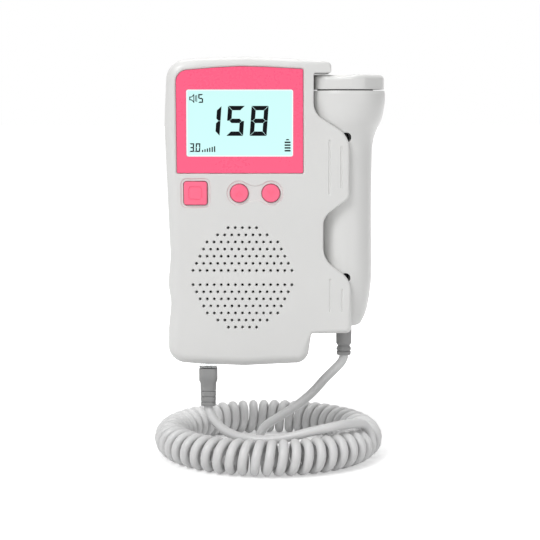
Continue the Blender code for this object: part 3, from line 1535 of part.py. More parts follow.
def main():
    for old in list(bpy.data.objects):
        bpy.data.objects.remove(old)
    shell = material("case_plastic", (0.80, 0.80, 0.79), 0.38)
    pink = material("pink_panel", (1.0, 0.10, 0.22), 0.30)
    key = material("pink_button", (1.0, 0.16, 0.26), 0.40)
    glass = material("lcd_glass", (0.60, 0.97, 0.95), 0.15)
    white = material("white_plastic", (0.85, 0.85, 0.85), 0.45)
    black = material("black_plastic", (0.03, 0.03, 0.03), 0.50)
    board = material("circuit_board", (0.02, 0.16, 0.06), 0.45)
    steel = material("zinc_steel", (0.62, 0.62, 0.64), 0.30, 1.0)
    dark_steel = material("black_screw", (0.05, 0.05, 0.05), 0.35, 1.0)
    gold = material("gold_contact", (0.90, 0.68, 0.28), 0.25, 1.0)
    battery = material("battery_wrap", (0.10, 0.10, 0.12), 0.35)
    paper = material("speaker_paper", (0.06, 0.06, 0.06), 0.85)
    rubber = material("grey_boot", (0.28, 0.28, 0.28), 0.55)
    cord = material("cord_jacket", (0.72, 0.72, 0.72), 0.45)
    clear = material("clear_plug", (0.75, 0.77, 0.78), 0.12)
    face = material("transducer_face", (0.78, 0.78, 0.76), 0.35)
    ceramic = material("crystal_ceramic", (0.70, 0.66, 0.55), 0.40)
    foam = material("absorber", (0.12, 0.12, 0.13), 0.80)

    make_front_shell(shell)
    make_back_shell(shell)
    make_case_screws(steel)
    make_battery_door(shell)
    make_batteries(battery)
    make_contacts(steel)
    make_springs(steel)
    make_display(pink, glass, white, white, black)
    make_buttons(key)
    make_switches(black, white)
    make_main_board(board, black, steel)
    make_speaker(black, paper, steel)
    make_probe_shell("probe_front_shell", -1, shell)
    make_probe_shell("probe_back_shell", 1, shell)
    make_cap(shell)
    make_transducer(face, ceramic, foam)
    make_probe_board(board)
    make_probe_screws(dark_steel)
    make_probe_boot(rubber)
    make_cord_jack(black)
    make_plug(clear, gold, rubber)
    make_cord(cord)


main()
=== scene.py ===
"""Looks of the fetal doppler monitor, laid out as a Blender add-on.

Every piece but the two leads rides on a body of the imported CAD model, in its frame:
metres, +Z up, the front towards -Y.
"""

import math

import bmesh
import bpy
import numpy as np
from bpy.props import FloatProperty, FloatVectorProperty, IntProperty, PointerProperty
from bpy.types import Operator, Panel, PropertyGroup
from mathutils import Matrix, Vector


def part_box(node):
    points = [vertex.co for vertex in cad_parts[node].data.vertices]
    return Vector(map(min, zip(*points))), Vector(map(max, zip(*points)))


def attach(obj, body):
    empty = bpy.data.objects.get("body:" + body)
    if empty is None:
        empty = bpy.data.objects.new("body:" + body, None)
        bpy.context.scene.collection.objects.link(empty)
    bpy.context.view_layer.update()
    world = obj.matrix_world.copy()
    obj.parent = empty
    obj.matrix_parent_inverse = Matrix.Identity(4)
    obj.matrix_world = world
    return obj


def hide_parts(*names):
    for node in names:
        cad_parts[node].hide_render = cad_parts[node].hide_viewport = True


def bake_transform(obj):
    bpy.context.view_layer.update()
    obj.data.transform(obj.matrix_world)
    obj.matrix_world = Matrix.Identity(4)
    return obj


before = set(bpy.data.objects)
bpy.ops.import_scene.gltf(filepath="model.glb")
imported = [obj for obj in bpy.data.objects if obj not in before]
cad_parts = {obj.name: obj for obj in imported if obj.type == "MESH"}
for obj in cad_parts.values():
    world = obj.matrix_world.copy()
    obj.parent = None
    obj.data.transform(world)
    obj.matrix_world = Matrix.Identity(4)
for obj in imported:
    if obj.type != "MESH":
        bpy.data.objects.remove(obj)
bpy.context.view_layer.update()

bl_info = {
    "name": "Fetal doppler monitor",
    "version": (1, 0, 0),
    "blender": (4, 5, 0),
    "location": "View3D > Sidebar > Doppler",
    "description": "Builds the looks of a fetal doppler monitor on its CAD frame",
    "category": "Object",
}

GAP = 0.0003
OVERRUN = 0.003
FINE_STEP = math.radians(7.5)
SHARP_ANGLE = math.radians(35)
CUT_SHARP_ANGLE = math.radians(30)
TUBE_SHARP_ANGLE = math.radians(50)
CUT = "DIFFERENCE"
JOIN = "UNION"

CRADLE_CLEARANCE = 0.0005
CAVITY_CORNER = 0.0022
CASE_POST_RADIUS = 0.0026
BACK_POST_RADIUS = 0.0037
SHANK_BORE_RADIUS = 0.0015
PANEL_SINK = 0.0003
PANEL_THICKNESS = 0.0012
WINDOW_CORNER = 0.0009
POWER_CORNER = 0.0012
DOOR_TOP = -0.00461
DOOR_THICKNESS = 0.0018
DOOR_CORNER = 0.0020
TAB_OFFSET = 0.0100
BAY_WALL = 0.0022
PROBE_SCREW_SHARES = (0.756, 0.203)
BOOT_RADIUS = 0.00355
PLUG_OPENING = (-0.02055, -0.0295, -0.0708), (-0.01165, -0.0200, -0.0616)

# Outline of the case, clockwise from the top left: x share of the width, z share of the
# height, corner radius share of the width, and share of the full edge rounding.
CASE_CORNER_SHARES = (
    (-0.481, 0.488, 0.130, 1.00),
    (0.012, 0.506, 3.458, 0.83),
    (0.546, 0.483, 0.032, 0.26),
    (0.546, 0.448, 0.013, 0.13),
    (0.437, 0.447, 0.009, 0.13),
    (0.437, 0.319, 0.122, 0.20),
    (0.663, 0.249, 0.151, 0.26),
    (0.663, 0.048, 0.062, 0.26),
    (0.501, -0.012, 0.099, 0.20),
    (0.501, -0.151, 0.156, 0.20),
    (0.674, -0.214, 0.134, 0.26),
    (0.684, -0.391, 0.040, 0.52),
    (0.427, -0.391, 0.017, 0.35),
    (0.402, -0.487, 0.086, 0.87),
    (0.000, -0.507, 3.458, 1.00),
    (-0.486, -0.485, 0.115, 1.00),
    (-0.483, -0.383, 0.288, 1.00),
    (-0.465, -0.292, 0.173, 1.00),
    (-0.483, -0.231, 0.173, 1.00),
    (-0.467, -0.144, 0.432, 1.00),
    (-0.500, 0.280, 1.153, 1.00),
)
PANEL_CORNER_SHARES = (
    (-0.422, 0.454, 0.072),
    (-0.029, 0.471, 2.161),
    (0.370, 0.460, 0.009),
    (0.372, 0.129, 0.009),
    (-0.419, 0.129, 0.009),
)
GROOVE_SHARES = (
    (0.537, 0.235, 0.059),
    (0.611, 0.215, 0.082),
    (0.543, -0.212, -0.319),
    (0.619, -0.245, -0.319),
)
HANDLE_SHARES = (
    (0.004, 0.50),
    (0.010, 0.60),
    (0.024, 0.68),
    (0.050, 0.79),
    (0.081, 0.865),
    (0.142, 0.955),
    (0.203, 1.00),
    (0.504, 0.97),
    (0.703, 0.99),
)
FLARE_SHARES = (
    (0.733, 0.04),
    (0.763, 0.19),
    (0.791, 0.41),
    (0.818, 0.66),
    (0.846, 0.83),
    (0.874, 0.93),
    (0.897, 0.99),
    (0.923, 1.00),
    (0.938, 0.94),
)
BOOT_RIB_SHARES = (
    (0.00, 0.93),
    (0.04, 1.00),
    (0.60, 0.97),
    (0.68, 0.74),
    (0.76, 0.93),
    (0.83, 0.93),
    (0.86, 0.78),
    (0.89, 0.92),
    (1.00, 0.88),
)
PLUG_BOOT_SHARES = (
    (0.00, 0.94),
    (0.03, 1.00),
    (0.32, 1.00),
    (0.39, 0.86),
    (0.59, 0.84),
    (0.61, 0.72),
    (0.64, 0.84),
    (0.74, 0.83),
    (0.76, 0.72),
    (0.79, 0.83),
    (0.88, 0.82),
    (0.90, 0.72),
    (0.93, 0.82),
    (1.00, 0.80),
)
CASE_SCREW_SHARES = ((-0.383, 0.447), (0.297, 0.447), (-0.383, -0.448), (0.314, -0.448))

# Routes of the two leads between their straight ends, the same as the CAD model's.
PLUG_LEAD_ROUTE = (
    (-0.0154, -0.0262, -0.0893),
    (-0.0143, -0.0280, -0.0913),
    (-0.0121, -0.0310, -0.0935),
    (-0.0089, -0.0358, -0.0954),
    (-0.0035, -0.0413, -0.0969),
    (0.0027, -0.0454, -0.0973),
    (0.0092, -0.0474, -0.0973),
    (0.0157, -0.0484, -0.0966),
    (0.0222, -0.0490, -0.0952),
    (0.0287, -0.0494, -0.0933),
    (0.0359, -0.0486, -0.0919),
    (0.0413, -0.0460, -0.0912),
    (0.0459, -0.0418, -0.0915),
    (0.0495, -0.0366, -0.0924),
    (0.0517, -0.0328, -0.0932),
    (0.0539, -0.0302, -0.0949),
    (0.0557, -0.0293, -0.0977),
    (0.0565, -0.0298, -0.1006),
)
PROBE_LEAD_ROUTE = (
    (0.0442, -0.0178, -0.0671),
    (0.0432, -0.0177, -0.0686),
    (0.0415, -0.0175, -0.0705),
    (0.0391, -0.0170, -0.0730),
    (0.0363, -0.0164, -0.0759),
    (0.0307, -0.0150, -0.0825),
    (0.0239, -0.0136, -0.0886),
    (0.0164, -0.0122, -0.0939),
    (0.0107, -0.0106, -0.0979),
    (0.0074, -0.0092, -0.1020),
    (0.0069, -0.0089, -0.1054),
    (0.0088, -0.0120, -0.1080),
    (0.0135, -0.0175, -0.1085),
    (0.0215, -0.0250, -0.1085),
    (0.0305, -0.0278, -0.1085),
    (0.0390, -0.0264, -0.1085),
    (0.0462, -0.0244, -0.1085),
)


# Settings

def length(name, value, text):
    return FloatProperty(name=name, description=text, default=value, unit="LENGTH", precision=4)


def share(name, value, text):
    return FloatProperty(name=name, description=text, default=value, precision=4)


def colour(name, value, text):
    return FloatVectorProperty(
        name=name, description=text, default=value, subtype="COLOR", size=3, min=0, max=1
    )


class CaseSettings(PropertyGroup):
    width: length("Width", 0.0694, "Width that the outline's shares refer to")
    height: length("Height", 0.1356, "Height that the outline's shares refer to")
    depth: length("Depth", 0.0332, "From the back face to the front face")
    seam: length("Seam", 0.0189, "Distance of the parting line from the back face")
    wall: length("Wall", 0.0022, "Thickness of the side walls")
    front_wall: length("Front wall", 0.0026, "Thickness of the front wall")
    rounding: length("Edge rounding", 0.0046, "Radius of the outer edges")
    pocket_depth: length("Pocket depth", 0.0004, "How deep the key pockets are sunk")
    plastic: colour("Plastic", (0.70, 0.70, 0.69), "Colour of the case and the probe")


class DisplaySettings(PropertyGroup):
    window_width: length("Window width", 0.0463, "Clear width of the display")
    window_height: length("Window height", 0.0289, "Clear height of the display")
    window_x: share("Window place across", -0.025, "Centre, as a share of the case's width")
    window_z: share("Window place up", 0.2887, "Centre, as a share of the case's height")
    panel: colour("Panel", (1.0, 0.092, 0.218), "Colour of the frame round the display")
    light: colour("Backlight", (0.585, 0.94, 0.92), "Colour of the lit display")


class KeySettings(PropertyGroup):
    row_z: share("Row", 0.0649, "Height of the keys, as a share of the case's height")
    power_x: share("Power key", -0.303, "Place of the square key, as a share of the case's width")
    up_x: share("Up key", -0.0288, "Place of the up key, as a share of the case's width")
    down_x: share("Down key", 0.170, "Place of the down key, as a share of the case's width")
    side: length("Square side", 0.0101, "Side of the square key")
    radius: length("Round radius", 0.0039, "Radius of the round keys")
    proud: length("Proud", 0.0008, "How far the caps stand out of the front")
    cap: colour("Cap", (1.0, 0.155, 0.27), "Colour of the key caps")


class GrilleSettings(PropertyGroup):
    x: share("Place across", -0.0094, "Centre, as a share of the case's width")
    z: share("Place up", -0.208, "Centre, as a share of the case's height")
    radius: length("Radius", 0.0229, "Radius of the circle that holds the holes")
    pitch: length("Pitch", 0.00309, "Spacing of the holes in a row")
    row_pitch: length("Row pitch", 0.00313, "Spacing of the rows")
    hole: length("Hole radius", 0.00058, "Radius of each hole")


class ProbeSettings(PropertyGroup):
    x: length("Axis across", 0.0446, "Place of the probe's axis")
    y: length("Axis depth", -0.0178, "Depth of the probe's axis")
    bottom: length("Bottom", -0.05139, "Height of its lower end")
    reach: length("Length", 0.1115, "Length of the probe")
    handle: length("Handle radius", 0.0122, "Radius of the handle")
    head: length("Head radius", 0.01765, "Radius of the head")
    wall: length("Wall", 0.0020, "Thickness of its shells")
    cap_height: length("Cap height", 0.0067, "Height of the fluted cap")
    flute: length("Flat depth", 0.0010, "How far the cap's flats are set in from its ridges")
    dip: length("Dip", 0.0009, "How far the rim dips at every other flat")


class CordSettings(PropertyGroup):
    diameter: length("Diameter", 0.0041, "Diameter of the cord")
    curl: length("Curl radius", 0.0059, "Radius of each curl's centreline")
    ring: length("Ring radius", 0.0437, "Radius of the ring that the coil lies in")
    centre_x: length("Ring across", 0.01065, "Centre of the ring")
    centre_y: length("Ring depth", -0.0150, "Centre of the ring")
    drop: length("Ring drop", 0.1026, "How far the ring's centre is below the origin")
    curls: IntProperty(name="Curls", description="Number of curls", default=49, min=10, max=90)
    crowding: share("Crowding", 0.09, "How much closer the curls lie at front and back")
    straight: length("Straight", 0.0012, "Straight piece at each end of a lead")
    jacket: colour("Jacket", (0.66, 0.66, 0.66), "Colour of the cord")
    boot: colour("Boots", (0.29, 0.29, 0.29), "Colour of the strain reliefs")


class StageSettings(PropertyGroup):
    camera_x: length("Camera across", 0.0114, "Place of the camera")
    camera_y: length("Camera distance", -0.683, "Place of the camera")
    camera_z: length("Camera height", 0.0458, "Place of the camera")
    tilt: FloatProperty(
        name="Tilt", description="How far the camera looks down",
        default=math.radians(6.2), subtype="ANGLE",
    )
    lens: FloatProperty(name="Lens", description="Focal length in millimetres", default=99.6)
    floor: length("Floor", -0.11055, "Height of the floor")


SETTINGS = {
    "doppler_case": CaseSettings,
    "doppler_display": DisplaySettings,
    "doppler_keys": KeySettings,
    "doppler_grille": GrilleSettings,
    "doppler_probe": ProbeSettings,
    "doppler_cord": CordSettings,
    "doppler_stage": StageSettings,
}


def settings(context, *names):
    """The scene's groups of settings with these names."""
    return [getattr(context.scene, f"doppler_{name}") for name in names]


# Shaders

class Value:
    """A shader socket that can be used in arithmetic."""

    def __init__(self, shader, socket):
        self.shader = shader
        self.socket = socket

    def math(self, operation, *others):
        return self.shader.node("ShaderNodeMath", {"operation": operation}, self, *others)

    def __add__(self, other):
        return self.math("ADD", other)

    def __sub__(self, other):
        return self.math("SUBTRACT", other)

    def __rsub__(self, other):
        return self.shader.node("ShaderNodeMath", {"operation": "SUBTRACT"}, other, self)

    def __mul__(self, other):
        return self.math("MULTIPLY", other)

    __radd__ = __add__
    __rmul__ = __mul__

    def __lt__(self, other):
        return self.math("LESS_THAN", other)

    def __gt__(self, other):
        return self.math("GREATER_THAN", other)

    def abs(self):
        return self.math("ABSOLUTE")

    def max(self, other):
        return self.math("MAXIMUM", other)

    def wrap(self, period):
        """The distance from the nearest whole multiple of the period."""
        return self.math("PINGPONG", period / 2)


class Nodes:
    """A node tree whose sockets take numbers, colours and other nodes' outputs alike."""

    def __init__(self, tree):
        self.tree = tree

    def put(self, socket, value):
        if isinstance(value, Value):
            self.tree.links.new(value.socket, socket)
        elif isinstance(value, (tuple, list)) and socket.type == "RGBA":
            socket.default_value = (*value[:3], 1.0)
        else:
            socket.default_value = value

    def node(self, kind, settings=None, *values, output=0, **named):
        made = self.tree.nodes.new(kind)
        for key, value in (settings or {}).items():
            setattr(made, key, value)
        for socket, value in zip(made.inputs, values):
            self.put(socket, value)
        for key, value in named.items():
            self.put(made.inputs[key.replace("_", " ")], value)
        return Value(self, made.outputs[output])

    def blend(self, factor, first, second):
        made = self.tree.nodes.new("ShaderNodeMix")
        made.data_type = "RGBA"
        for index, value in ((0, factor), (6, first), (7, second)):
            self.put(made.inputs[index], value)
        return Value(self, made.outputs[2])

    def seen(self):
        """1 for what the camera sees directly, in a reflection or through glass, else 0."""
        path = self.tree.nodes.new("ShaderNodeLightPath")
        rays = ("Is Camera Ray", "Is Glossy Ray", "Is Transmission Ray")
        camera, glossy, transmitted = (Value(self, path.outputs[ray]) for ray in rays)
        return camera.max(glossy).max(transmitted)


class Shader(Nodes):
    """A material's Principled node and the nodes that feed it."""

    def __init__(self, name, **constants):
        self.material = bpy.data.materials.new(name)
        self.material.use_nodes = True
        super().__init__(self.material.node_tree)
        self.surface = self.tree.nodes["Principled BSDF"]
        for key, value in constants.items():
            self.feed(key.replace("_", " "), value)

    def feed(self, name, value):
        self.put(self.surface.inputs[name], value)

    def vector(self):
        """The point in metres."""
        return self.node("ShaderNodeTexCoord", output=3)

    def place(self):
        """The point's three coordinates in metres."""
        split = self.tree.nodes.new("ShaderNodeSeparateXYZ")
        self.put(split.inputs[0], self.vector())
        return [Value(self, out) for out in split.outputs]

    def noise(self, scale, detail=2.0):
        return self.node(
            "ShaderNodeTexNoise", None,
            Vector=self.vector(), Scale=scale, Detail=detail, Roughness=0.5,
        )

    def bump(self, height, distance):
        self.feed("Normal", self.node("ShaderNodeBump", None, Height=height, Distance=distance))


def vary(colour_value, amount):
    return tuple(min(1.0, channel * amount) for channel in colour_value)


def moulded(
    name, base, roughness, grain=0.00003, grain_scale=2600.0, coat=0.0, tint=0.035, **more
):
    """Moulded plastic: a fine spark-eroded grain, and slow changes of colour and gloss."""
    shader = Shader(name, Coat_Weight=coat, Coat_Roughness=0.12, **more)
    slow = shader.noise(45.0, 3.0)
    fine = shader.noise(grain_scale, 2.0)
    mix = slow * 0.7 + fine * 0.3
    shader.feed("Base Color", shader.blend(mix, vary(base, 1 - tint), vary(base, 1 + tint)))
    shader.feed("Roughness", roughness + (slow - 0.5) * 0.08 + (fine - 0.5) * 0.06)
    shader.bump(fine, grain)
    return shader.material


def metal(name, base, roughness):
    """Metal with fine drawn scratches and a little tarnish."""
    shader = Shader(name, Metallic=1.0)
    stretched = shader.node(
        "ShaderNodeMapping", None, Vector=shader.vector(), Scale=(1.0, 1.0, 12.0)
    )
    lines = shader.node("ShaderNodeTexNoise", None, Vector=stretched, Scale=900.0, Detail=2.0)
    stain = shader.noise(300.0, 3.0)
    shader.feed("Base Color", shader.blend(stain, vary(base, 0.88), vary(base, 1.08)))
    shader.feed("Roughness", roughness + (lines - 0.5) * 0.15)
    shader.bump(lines, 0.00001)
    return shader.material


def board_material():
    """A green circuit board: solder mask over traces, and rows of bare pads."""
    shader = Shader("board_green", Coat_Weight=0.4, Coat_Roughness=0.2)
    x, y, z = shader.place()
    wander = shader.noise(90.0, 1.0) * 0.004
    trace = ((x + wander).wrap(0.0016) < 0.0002).max((z - wander).wrap(0.0019) < 0.0002)
    pads = (x.wrap(0.0064) < 0.0006) * (z.wrap(0.0052) < 0.0005)
    green = shader.blend(trace, (0.010, 0.105, 0.035), (0.022, 0.190, 0.062))
    shader.feed("Base Color", shader.blend(pads, green, (0.62, 0.60, 0.50)))
    shader.feed("Roughness", 0.42 - pads * 0.15)
    shader.bump(trace + pads, 0.00002)
    return shader.material


def cell_material():
    """A battery's printed wrap: dark, with a lighter band near one end."""
    shader = Shader("cell_wrap", Coat_Weight=0.5, Coat_Roughness=0.1)
    x, y, z = shader.place()
    band = (z > -0.0235) * (z < -0.0125)
    grain = shader.noise(1200.0)
    body = shader.blend(grain, (0.020, 0.022, 0.030), (0.035, 0.038, 0.050))
    shader.feed("Base Color", shader.blend(band, body, (0.55, 0.33, 0.12)))
    shader.feed("Roughness", 0.30 + (grain - 0.5) * 0.1)
    shader.bump(grain, 0.000005)
    return shader.material


def screen_material(display, case):
    """The lit display: an even glow, with a paler rim near its edge."""
    shader = Shader("screen_lit", Roughness=0.14, Coat_Weight=0.6, Coat_Roughness=0.05)
    x, y, z = shader.place()
    half_x, half_z, rim_width = display.window_width / 2, display.window_height / 2, 0.0007
    across = (x - display.window_x * case.width).abs() - (half_x - rim_width)
    up = (z - display.window_z * case.height).abs() - (half_z - rim_width)
    rim = shader.node(
        "ShaderNodeMapRange", {"interpolation_type": "SMOOTHSTEP"},
        across.max(up), 0.0, 0.0006, 0.0, 1.0,
    )
    cells = (x.wrap(0.00026) < 0.000012).max(z.wrap(0.00026) < 0.000012)
    tone = shader.noise(60.0, 2.0)
    glow = shader.blend(tone, vary(display.light, 0.985), vary(display.light, 1.01))
    glow = shader.blend(cells * 0.06, glow, vary(display.light, 0.8))
    glow = shader.blend(rim, glow, (0.93, 0.98, 0.98))
    shader.feed("Base Color", (0.02, 0.03, 0.03))
    shader.feed("Emission Color", glow)
    shader.feed("Emission Strength", 1.0)
    return shader.material


MATERIALS = {}


def make_materials(context):
    case, display, keys, cord = settings(context, "case", "display", "keys", "cord")
    plastic = tuple(case.plastic)
    MATERIALS.update(
        case=moulded("case_moulding", plastic, 0.36, coat=0.08),
        probe=moulded("probe_moulding", plastic, 0.33, coat=0.10, grain=0.00002),
        panel=moulded("panel_pink", tuple(display.panel), 0.28, 0.000006, 900.0, 0.35, 0.02),
        key=moulded("key_pink", tuple(keys.cap), 0.42, 0.00002, 1800.0, 0.0, 0.03),
        screen=screen_material(display, case),
        ink=moulded(
            "screen_ink", (0.004, 0.005, 0.007), 0.85, 0.000002, 4000.0, Specular_IOR_Level=0.1
        ),
        white=moulded("inner_white", (0.78, 0.78, 0.76), 0.5),
        black=moulded("inner_black", (0.022, 0.022, 0.024), 0.5, 0.00003, 1500.0, 0.0, 0.2),
        board=board_material(),
        steel=metal("plated_steel", (0.62, 0.62, 0.64), 0.32),
        dark_steel=metal("blackened_steel", (0.055, 0.055, 0.06), 0.38),
        gold=metal("gold_flash", (0.92, 0.70, 0.30), 0.22),
        cell=cell_material(),
        paper=moulded("cone_paper", (0.05, 0.05, 0.052), 0.85, 0.0001, 700.0, 0.0, 0.25),
        boot=moulded("boot_rubber", tuple(cord.boot), 0.5, 0.00002, 1600.0, 0.0, 0.05),
        cord=moulded("cord_jacket", tuple(cord.jacket), 0.40, 0.000012, 1500.0, 0.10, 0.03),
        face=moulded("probe_face", (0.74, 0.74, 0.71), 0.34, 0.00001, 1200.0, 0.1),
        ceramic=moulded("fired_ceramic", (0.66, 0.61, 0.50), 0.42, 0.00003, 900.0),
        foam=moulded("damping_compound", (0.10, 0.10, 0.11), 0.8, 0.00012, 500.0, 0.0, 0.2),
        clear=moulded(
            "plug_clear", (0.86, 0.88, 0.88), 0.08, 0.000004, 900.0, 0.0, 0.01,
            Transmission_Weight=0.85, IOR=1.50,
        ),
    )


# Shapes

def new_object(name, bm, finish=None):
    bmesh.ops.recalc_face_normals(bm, faces=bm.faces)
    mesh = bpy.data.meshes.new(name)
    bm.to_mesh(mesh)
    bm.free()
    made = linked(name, mesh)
    if finish:
        mesh.materials.append(MATERIALS[finish])
    mesh.shade_smooth()
    mesh.set_sharp_from_angle(angle=SHARP_ANGLE)
    return made


def baked(made):
    """The piece's mesh as its modifiers or its curve leave it."""
    context = bpy.context
    context.view_layer.update()
    return bpy.data.meshes.new_from_object(made.evaluated_get(context.evaluated_depsgraph_get()))


def combine(made, tools):
    """Cuts or joins each (operation, mesh) onto the piece, then bakes the result."""
    helpers = []
    for k, (operation, bm) in enumerate(tools):
        helper = new_object(f"{made.name}_tool_{k}", bm)
        helpers.append(helper)
        modifier = made.modifiers.new(f"tool_{k}", "BOOLEAN")
        modifier.operation = operation
        modifier.solver = "EXACT"
        modifier.object = helper
    mesh = baked(made)
    made.modifiers.clear()
    made.data = mesh
    mesh.shade_smooth()
    mesh.set_sharp_from_angle(angle=CUT_SHARP_ANGLE)
    for helper in helpers:
        bpy.data.objects.remove(helper)
    return made


def settle(made, body, replaced=None):
    """Lets the piece ride on a body and stand for a CAD node."""
    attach(made, body)
    if replaced:
        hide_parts(replaced)


def box(bm, low, high):
    size = Vector(high) - Vector(low)
    place = Matrix.Translation((Vector(high) + Vector(low)) / 2) @ Matrix.Diagonal((*size, 1.0))
    bmesh.ops.create_cube(bm, size=1.0, matrix=place)


def rod(bm, start, end, radius, sides):
    start, end = Vector(start), Vector(end)
    along = end - start
    turn = along.to_track_quat("Z", "Y").to_matrix().to_4x4()
    bmesh.ops.create_cone(
        bm, cap_ends=True, segments=sides, radius1=radius, radius2=radius, depth=along.length,
        matrix=Matrix.Translation((start + end) / 2) @ turn,
    )


def skin(bm, rings, closed=False):
    """Joins rings of points into one body, with flat ends or closed on itself."""
    loops = [[bm.verts.new(point) for point in ring] for ring in rings]
    pairs = list(zip(loops, loops[1:]))
    if closed:
        pairs.append((loops[-1], loops[0]))
    for lower, upper in pairs:
        for i, vertex in enumerate(lower):
            after = (i + 1) % len(lower)
            bm.faces.new((vertex, lower[after], upper[after], upper[i]))
    if not closed:
        bm.faces.new(loops[0])
        bm.faces.new(loops[-1])


def rounded(corners):
    """The outline round these corners (x, z, radius, ...), clockwise, as (point, outward, rest)."""
    outline = []
    for i, (x, z, radius, *rest) in enumerate(corners):
        here = Vector((x, z))
        back = (Vector(corners[i - 1][:2]) - here).normalized()
        ahead = (Vector(corners[(i + 1) % len(corners)][:2]) - here).normalized()
        turn = math.pi - back.angle(ahead)
        reach = radius * math.tan(turn / 2)
        centre = here + (back + ahead).normalized() * math.hypot(radius, reach)
        spoke = here + back * reach - centre
        bend = 1 if back.cross(ahead) > 0 else -1
        steps = max(2, math.ceil(turn / FINE_STEP))
        for k in range(steps + 1):
            turned = spoke.copy()
            turned.rotate(Matrix.Rotation(-bend * turn * k / steps, 2))
            outline.append((centre + turned, turned.normalized() * bend, rest))
    return outline


def stacked(corners, steps):
    """Rings of a rounded outline at each (depth, growth)."""
    outline = rounded(corners)
    return [
        [((p + n * grow).x, y, (p + n * grow).y) for p, n, _ in outline] for y, grow in steps
    ]


def plate(corners, *steps):
    return solid(stacked(corners, steps))


def rectangle(x, z, width, height, radius):
    left, right = x - width / 2, x + width / 2
    low, high = z - height / 2, z + height / 2
    return ((left, high, radius), (right, high, radius), (right, low, radius), (left, low, radius))


def turned_rings(profile, centre_x, centre_y, sides):
    """Rings about a vertical axis, from (height, radius) pairs."""
    angles = [2 * math.pi * k / sides for k in range(sides)]
    return [
        [(centre_x + r * math.sin(a), centre_y - r * math.cos(a), z) for a in angles]
        for z, r in profile
    ]


def turned_about_y(profile, centre_x, centre_z, sides):
    """Rings about an axis along Y, from (depth, radius) pairs."""
    angles = [2 * math.pi * k / sides for k in range(sides)]
    return [
        [(centre_x + r * math.cos(a), y, centre_z + r * math.sin(a)) for a in angles]
        for y, r in profile
    ]


def solid(rings):
    bm = bmesh.new()
    skin(bm, rings)
    return bm


def smooth_points(points, spacing):
    """Points one spacing apart on a smooth curve through all but the two end points."""
    fine = []
    for a, b, c, d in zip(points, points[1:], points[2:], points[3:]):
        for k in range(16):
            t = k / 16
            square, cube = 2 * a - 5 * b + 4 * c - d, 3 * b - a - 3 * c + d
            fine.append(0.5 * (2 * b + (c - a) * t + square * t**2 + cube * t**3))
    fine.append(points[-2])
    line = np.array([tuple(p) for p in fine])
    along = np.concatenate([[0.0], np.cumsum(np.linalg.norm(np.diff(line, axis=0), axis=1))])
    at = np.linspace(0.0, along[-1], max(2, round(along[-1] / spacing) + 1))
    return [Vector(float(np.interp(s, along, line[:, k])) for k in range(3)) for s in at]


def linked(name, data):
    made = bpy.data.objects.new(name, data)
    bpy.context.scene.collection.objects.link(made)
    return made


def tube(name, points, diameter, finish, resolution=4):
    """A round tube as a curve object."""
    curve = bpy.data.curves.new(name, "CURVE")
    curve.dimensions = "3D"
    curve.bevel_depth = diameter / 2
    curve.bevel_resolution = resolution
    curve.use_fill_caps = True
    spline = curve.splines.new("POLY")
    spline.points.add(len(points) - 1)
    for place, point in zip(spline.points, points):
        place.co = (*point, 1.0)
    spline.use_smooth = True
    curve.materials.append(MATERIALS[finish])
    return linked(name, curve)


def tube_mesh(name, points, diameter, finish):
    """The same tube as a mesh."""
    curve = tube(name + "_line", points, diameter, finish, 5)
    mesh = baked(curve)
    bpy.data.objects.remove(curve)
    mesh.shade_smooth()
    mesh.set_sharp_from_angle(angle=TUBE_SHARP_ANGLE)
    return linked(name, mesh)


# Case

def case_corners(case):
    return [
        (x * case.width, z * case.height, radius * case.width, rounding * case.rounding)
        for x, z, radius, rounding in CASE_CORNER_SHARES
    ]


def case_half(case, seam, face):
    """Half of the case, from the seam to its outer face, with rounded outer edges."""
    outline = rounded(case_corners(case))
    inward = math.copysign(1.0, seam - face)
    lip = 0.0002
    rings = [
        [((p - n * lip).x, seam, (p - n * lip).y) for p, n, _ in outline],
        [(p.x, seam - inward * lip, p.y) for p, _, _ in outline],
    ]
    steps = 8
    for k in range(steps + 1):
        angle = math.pi / 2 * k / steps
        ring = []
        for point, outward, (size,) in outline:
            at = point - outward * size * (1 - math.cos(angle))
            ring.append((at.x, face + inward * size * (1 - math.sin(angle)), at.y))
        rings.append(ring)
    return solid(rings)


def cavity(case, low, high):
    """The hollow inside the case, between these two depths."""
    h, small, large = case.height, CAVITY_CORNER, 0.07 * case.width
    left = -0.467 * case.width + case.wall
    top, bottom = 0.491 * h - case.wall, -0.493 * h + case.wall
    head, handle, foot, inset = 0.02425, 0.0297, 0.0257, 0.0036
    corners = (
        (left, top, large), (head, top, small), (head, 0.285 * h, small),
        (handle, 0.205 * h, small), (handle, -0.358 * h, small),
        (handle - inset, -0.387 * h, small), (foot, bottom, small), (left, bottom, large),
    )
    return plate(corners, (low, 0.0), (high, 0.0))


def probe_profile(probe, grow=0.0):
    handle = [(at, probe.handle * s) for at, s in HANDLE_SHARES]
    step = probe.head - probe.handle
    flare = [(at, probe.handle + step * s) for at, s in FLARE_SHARES]
    return [(probe.bottom + at * probe.reach, r + grow) for at, r in handle + flare]


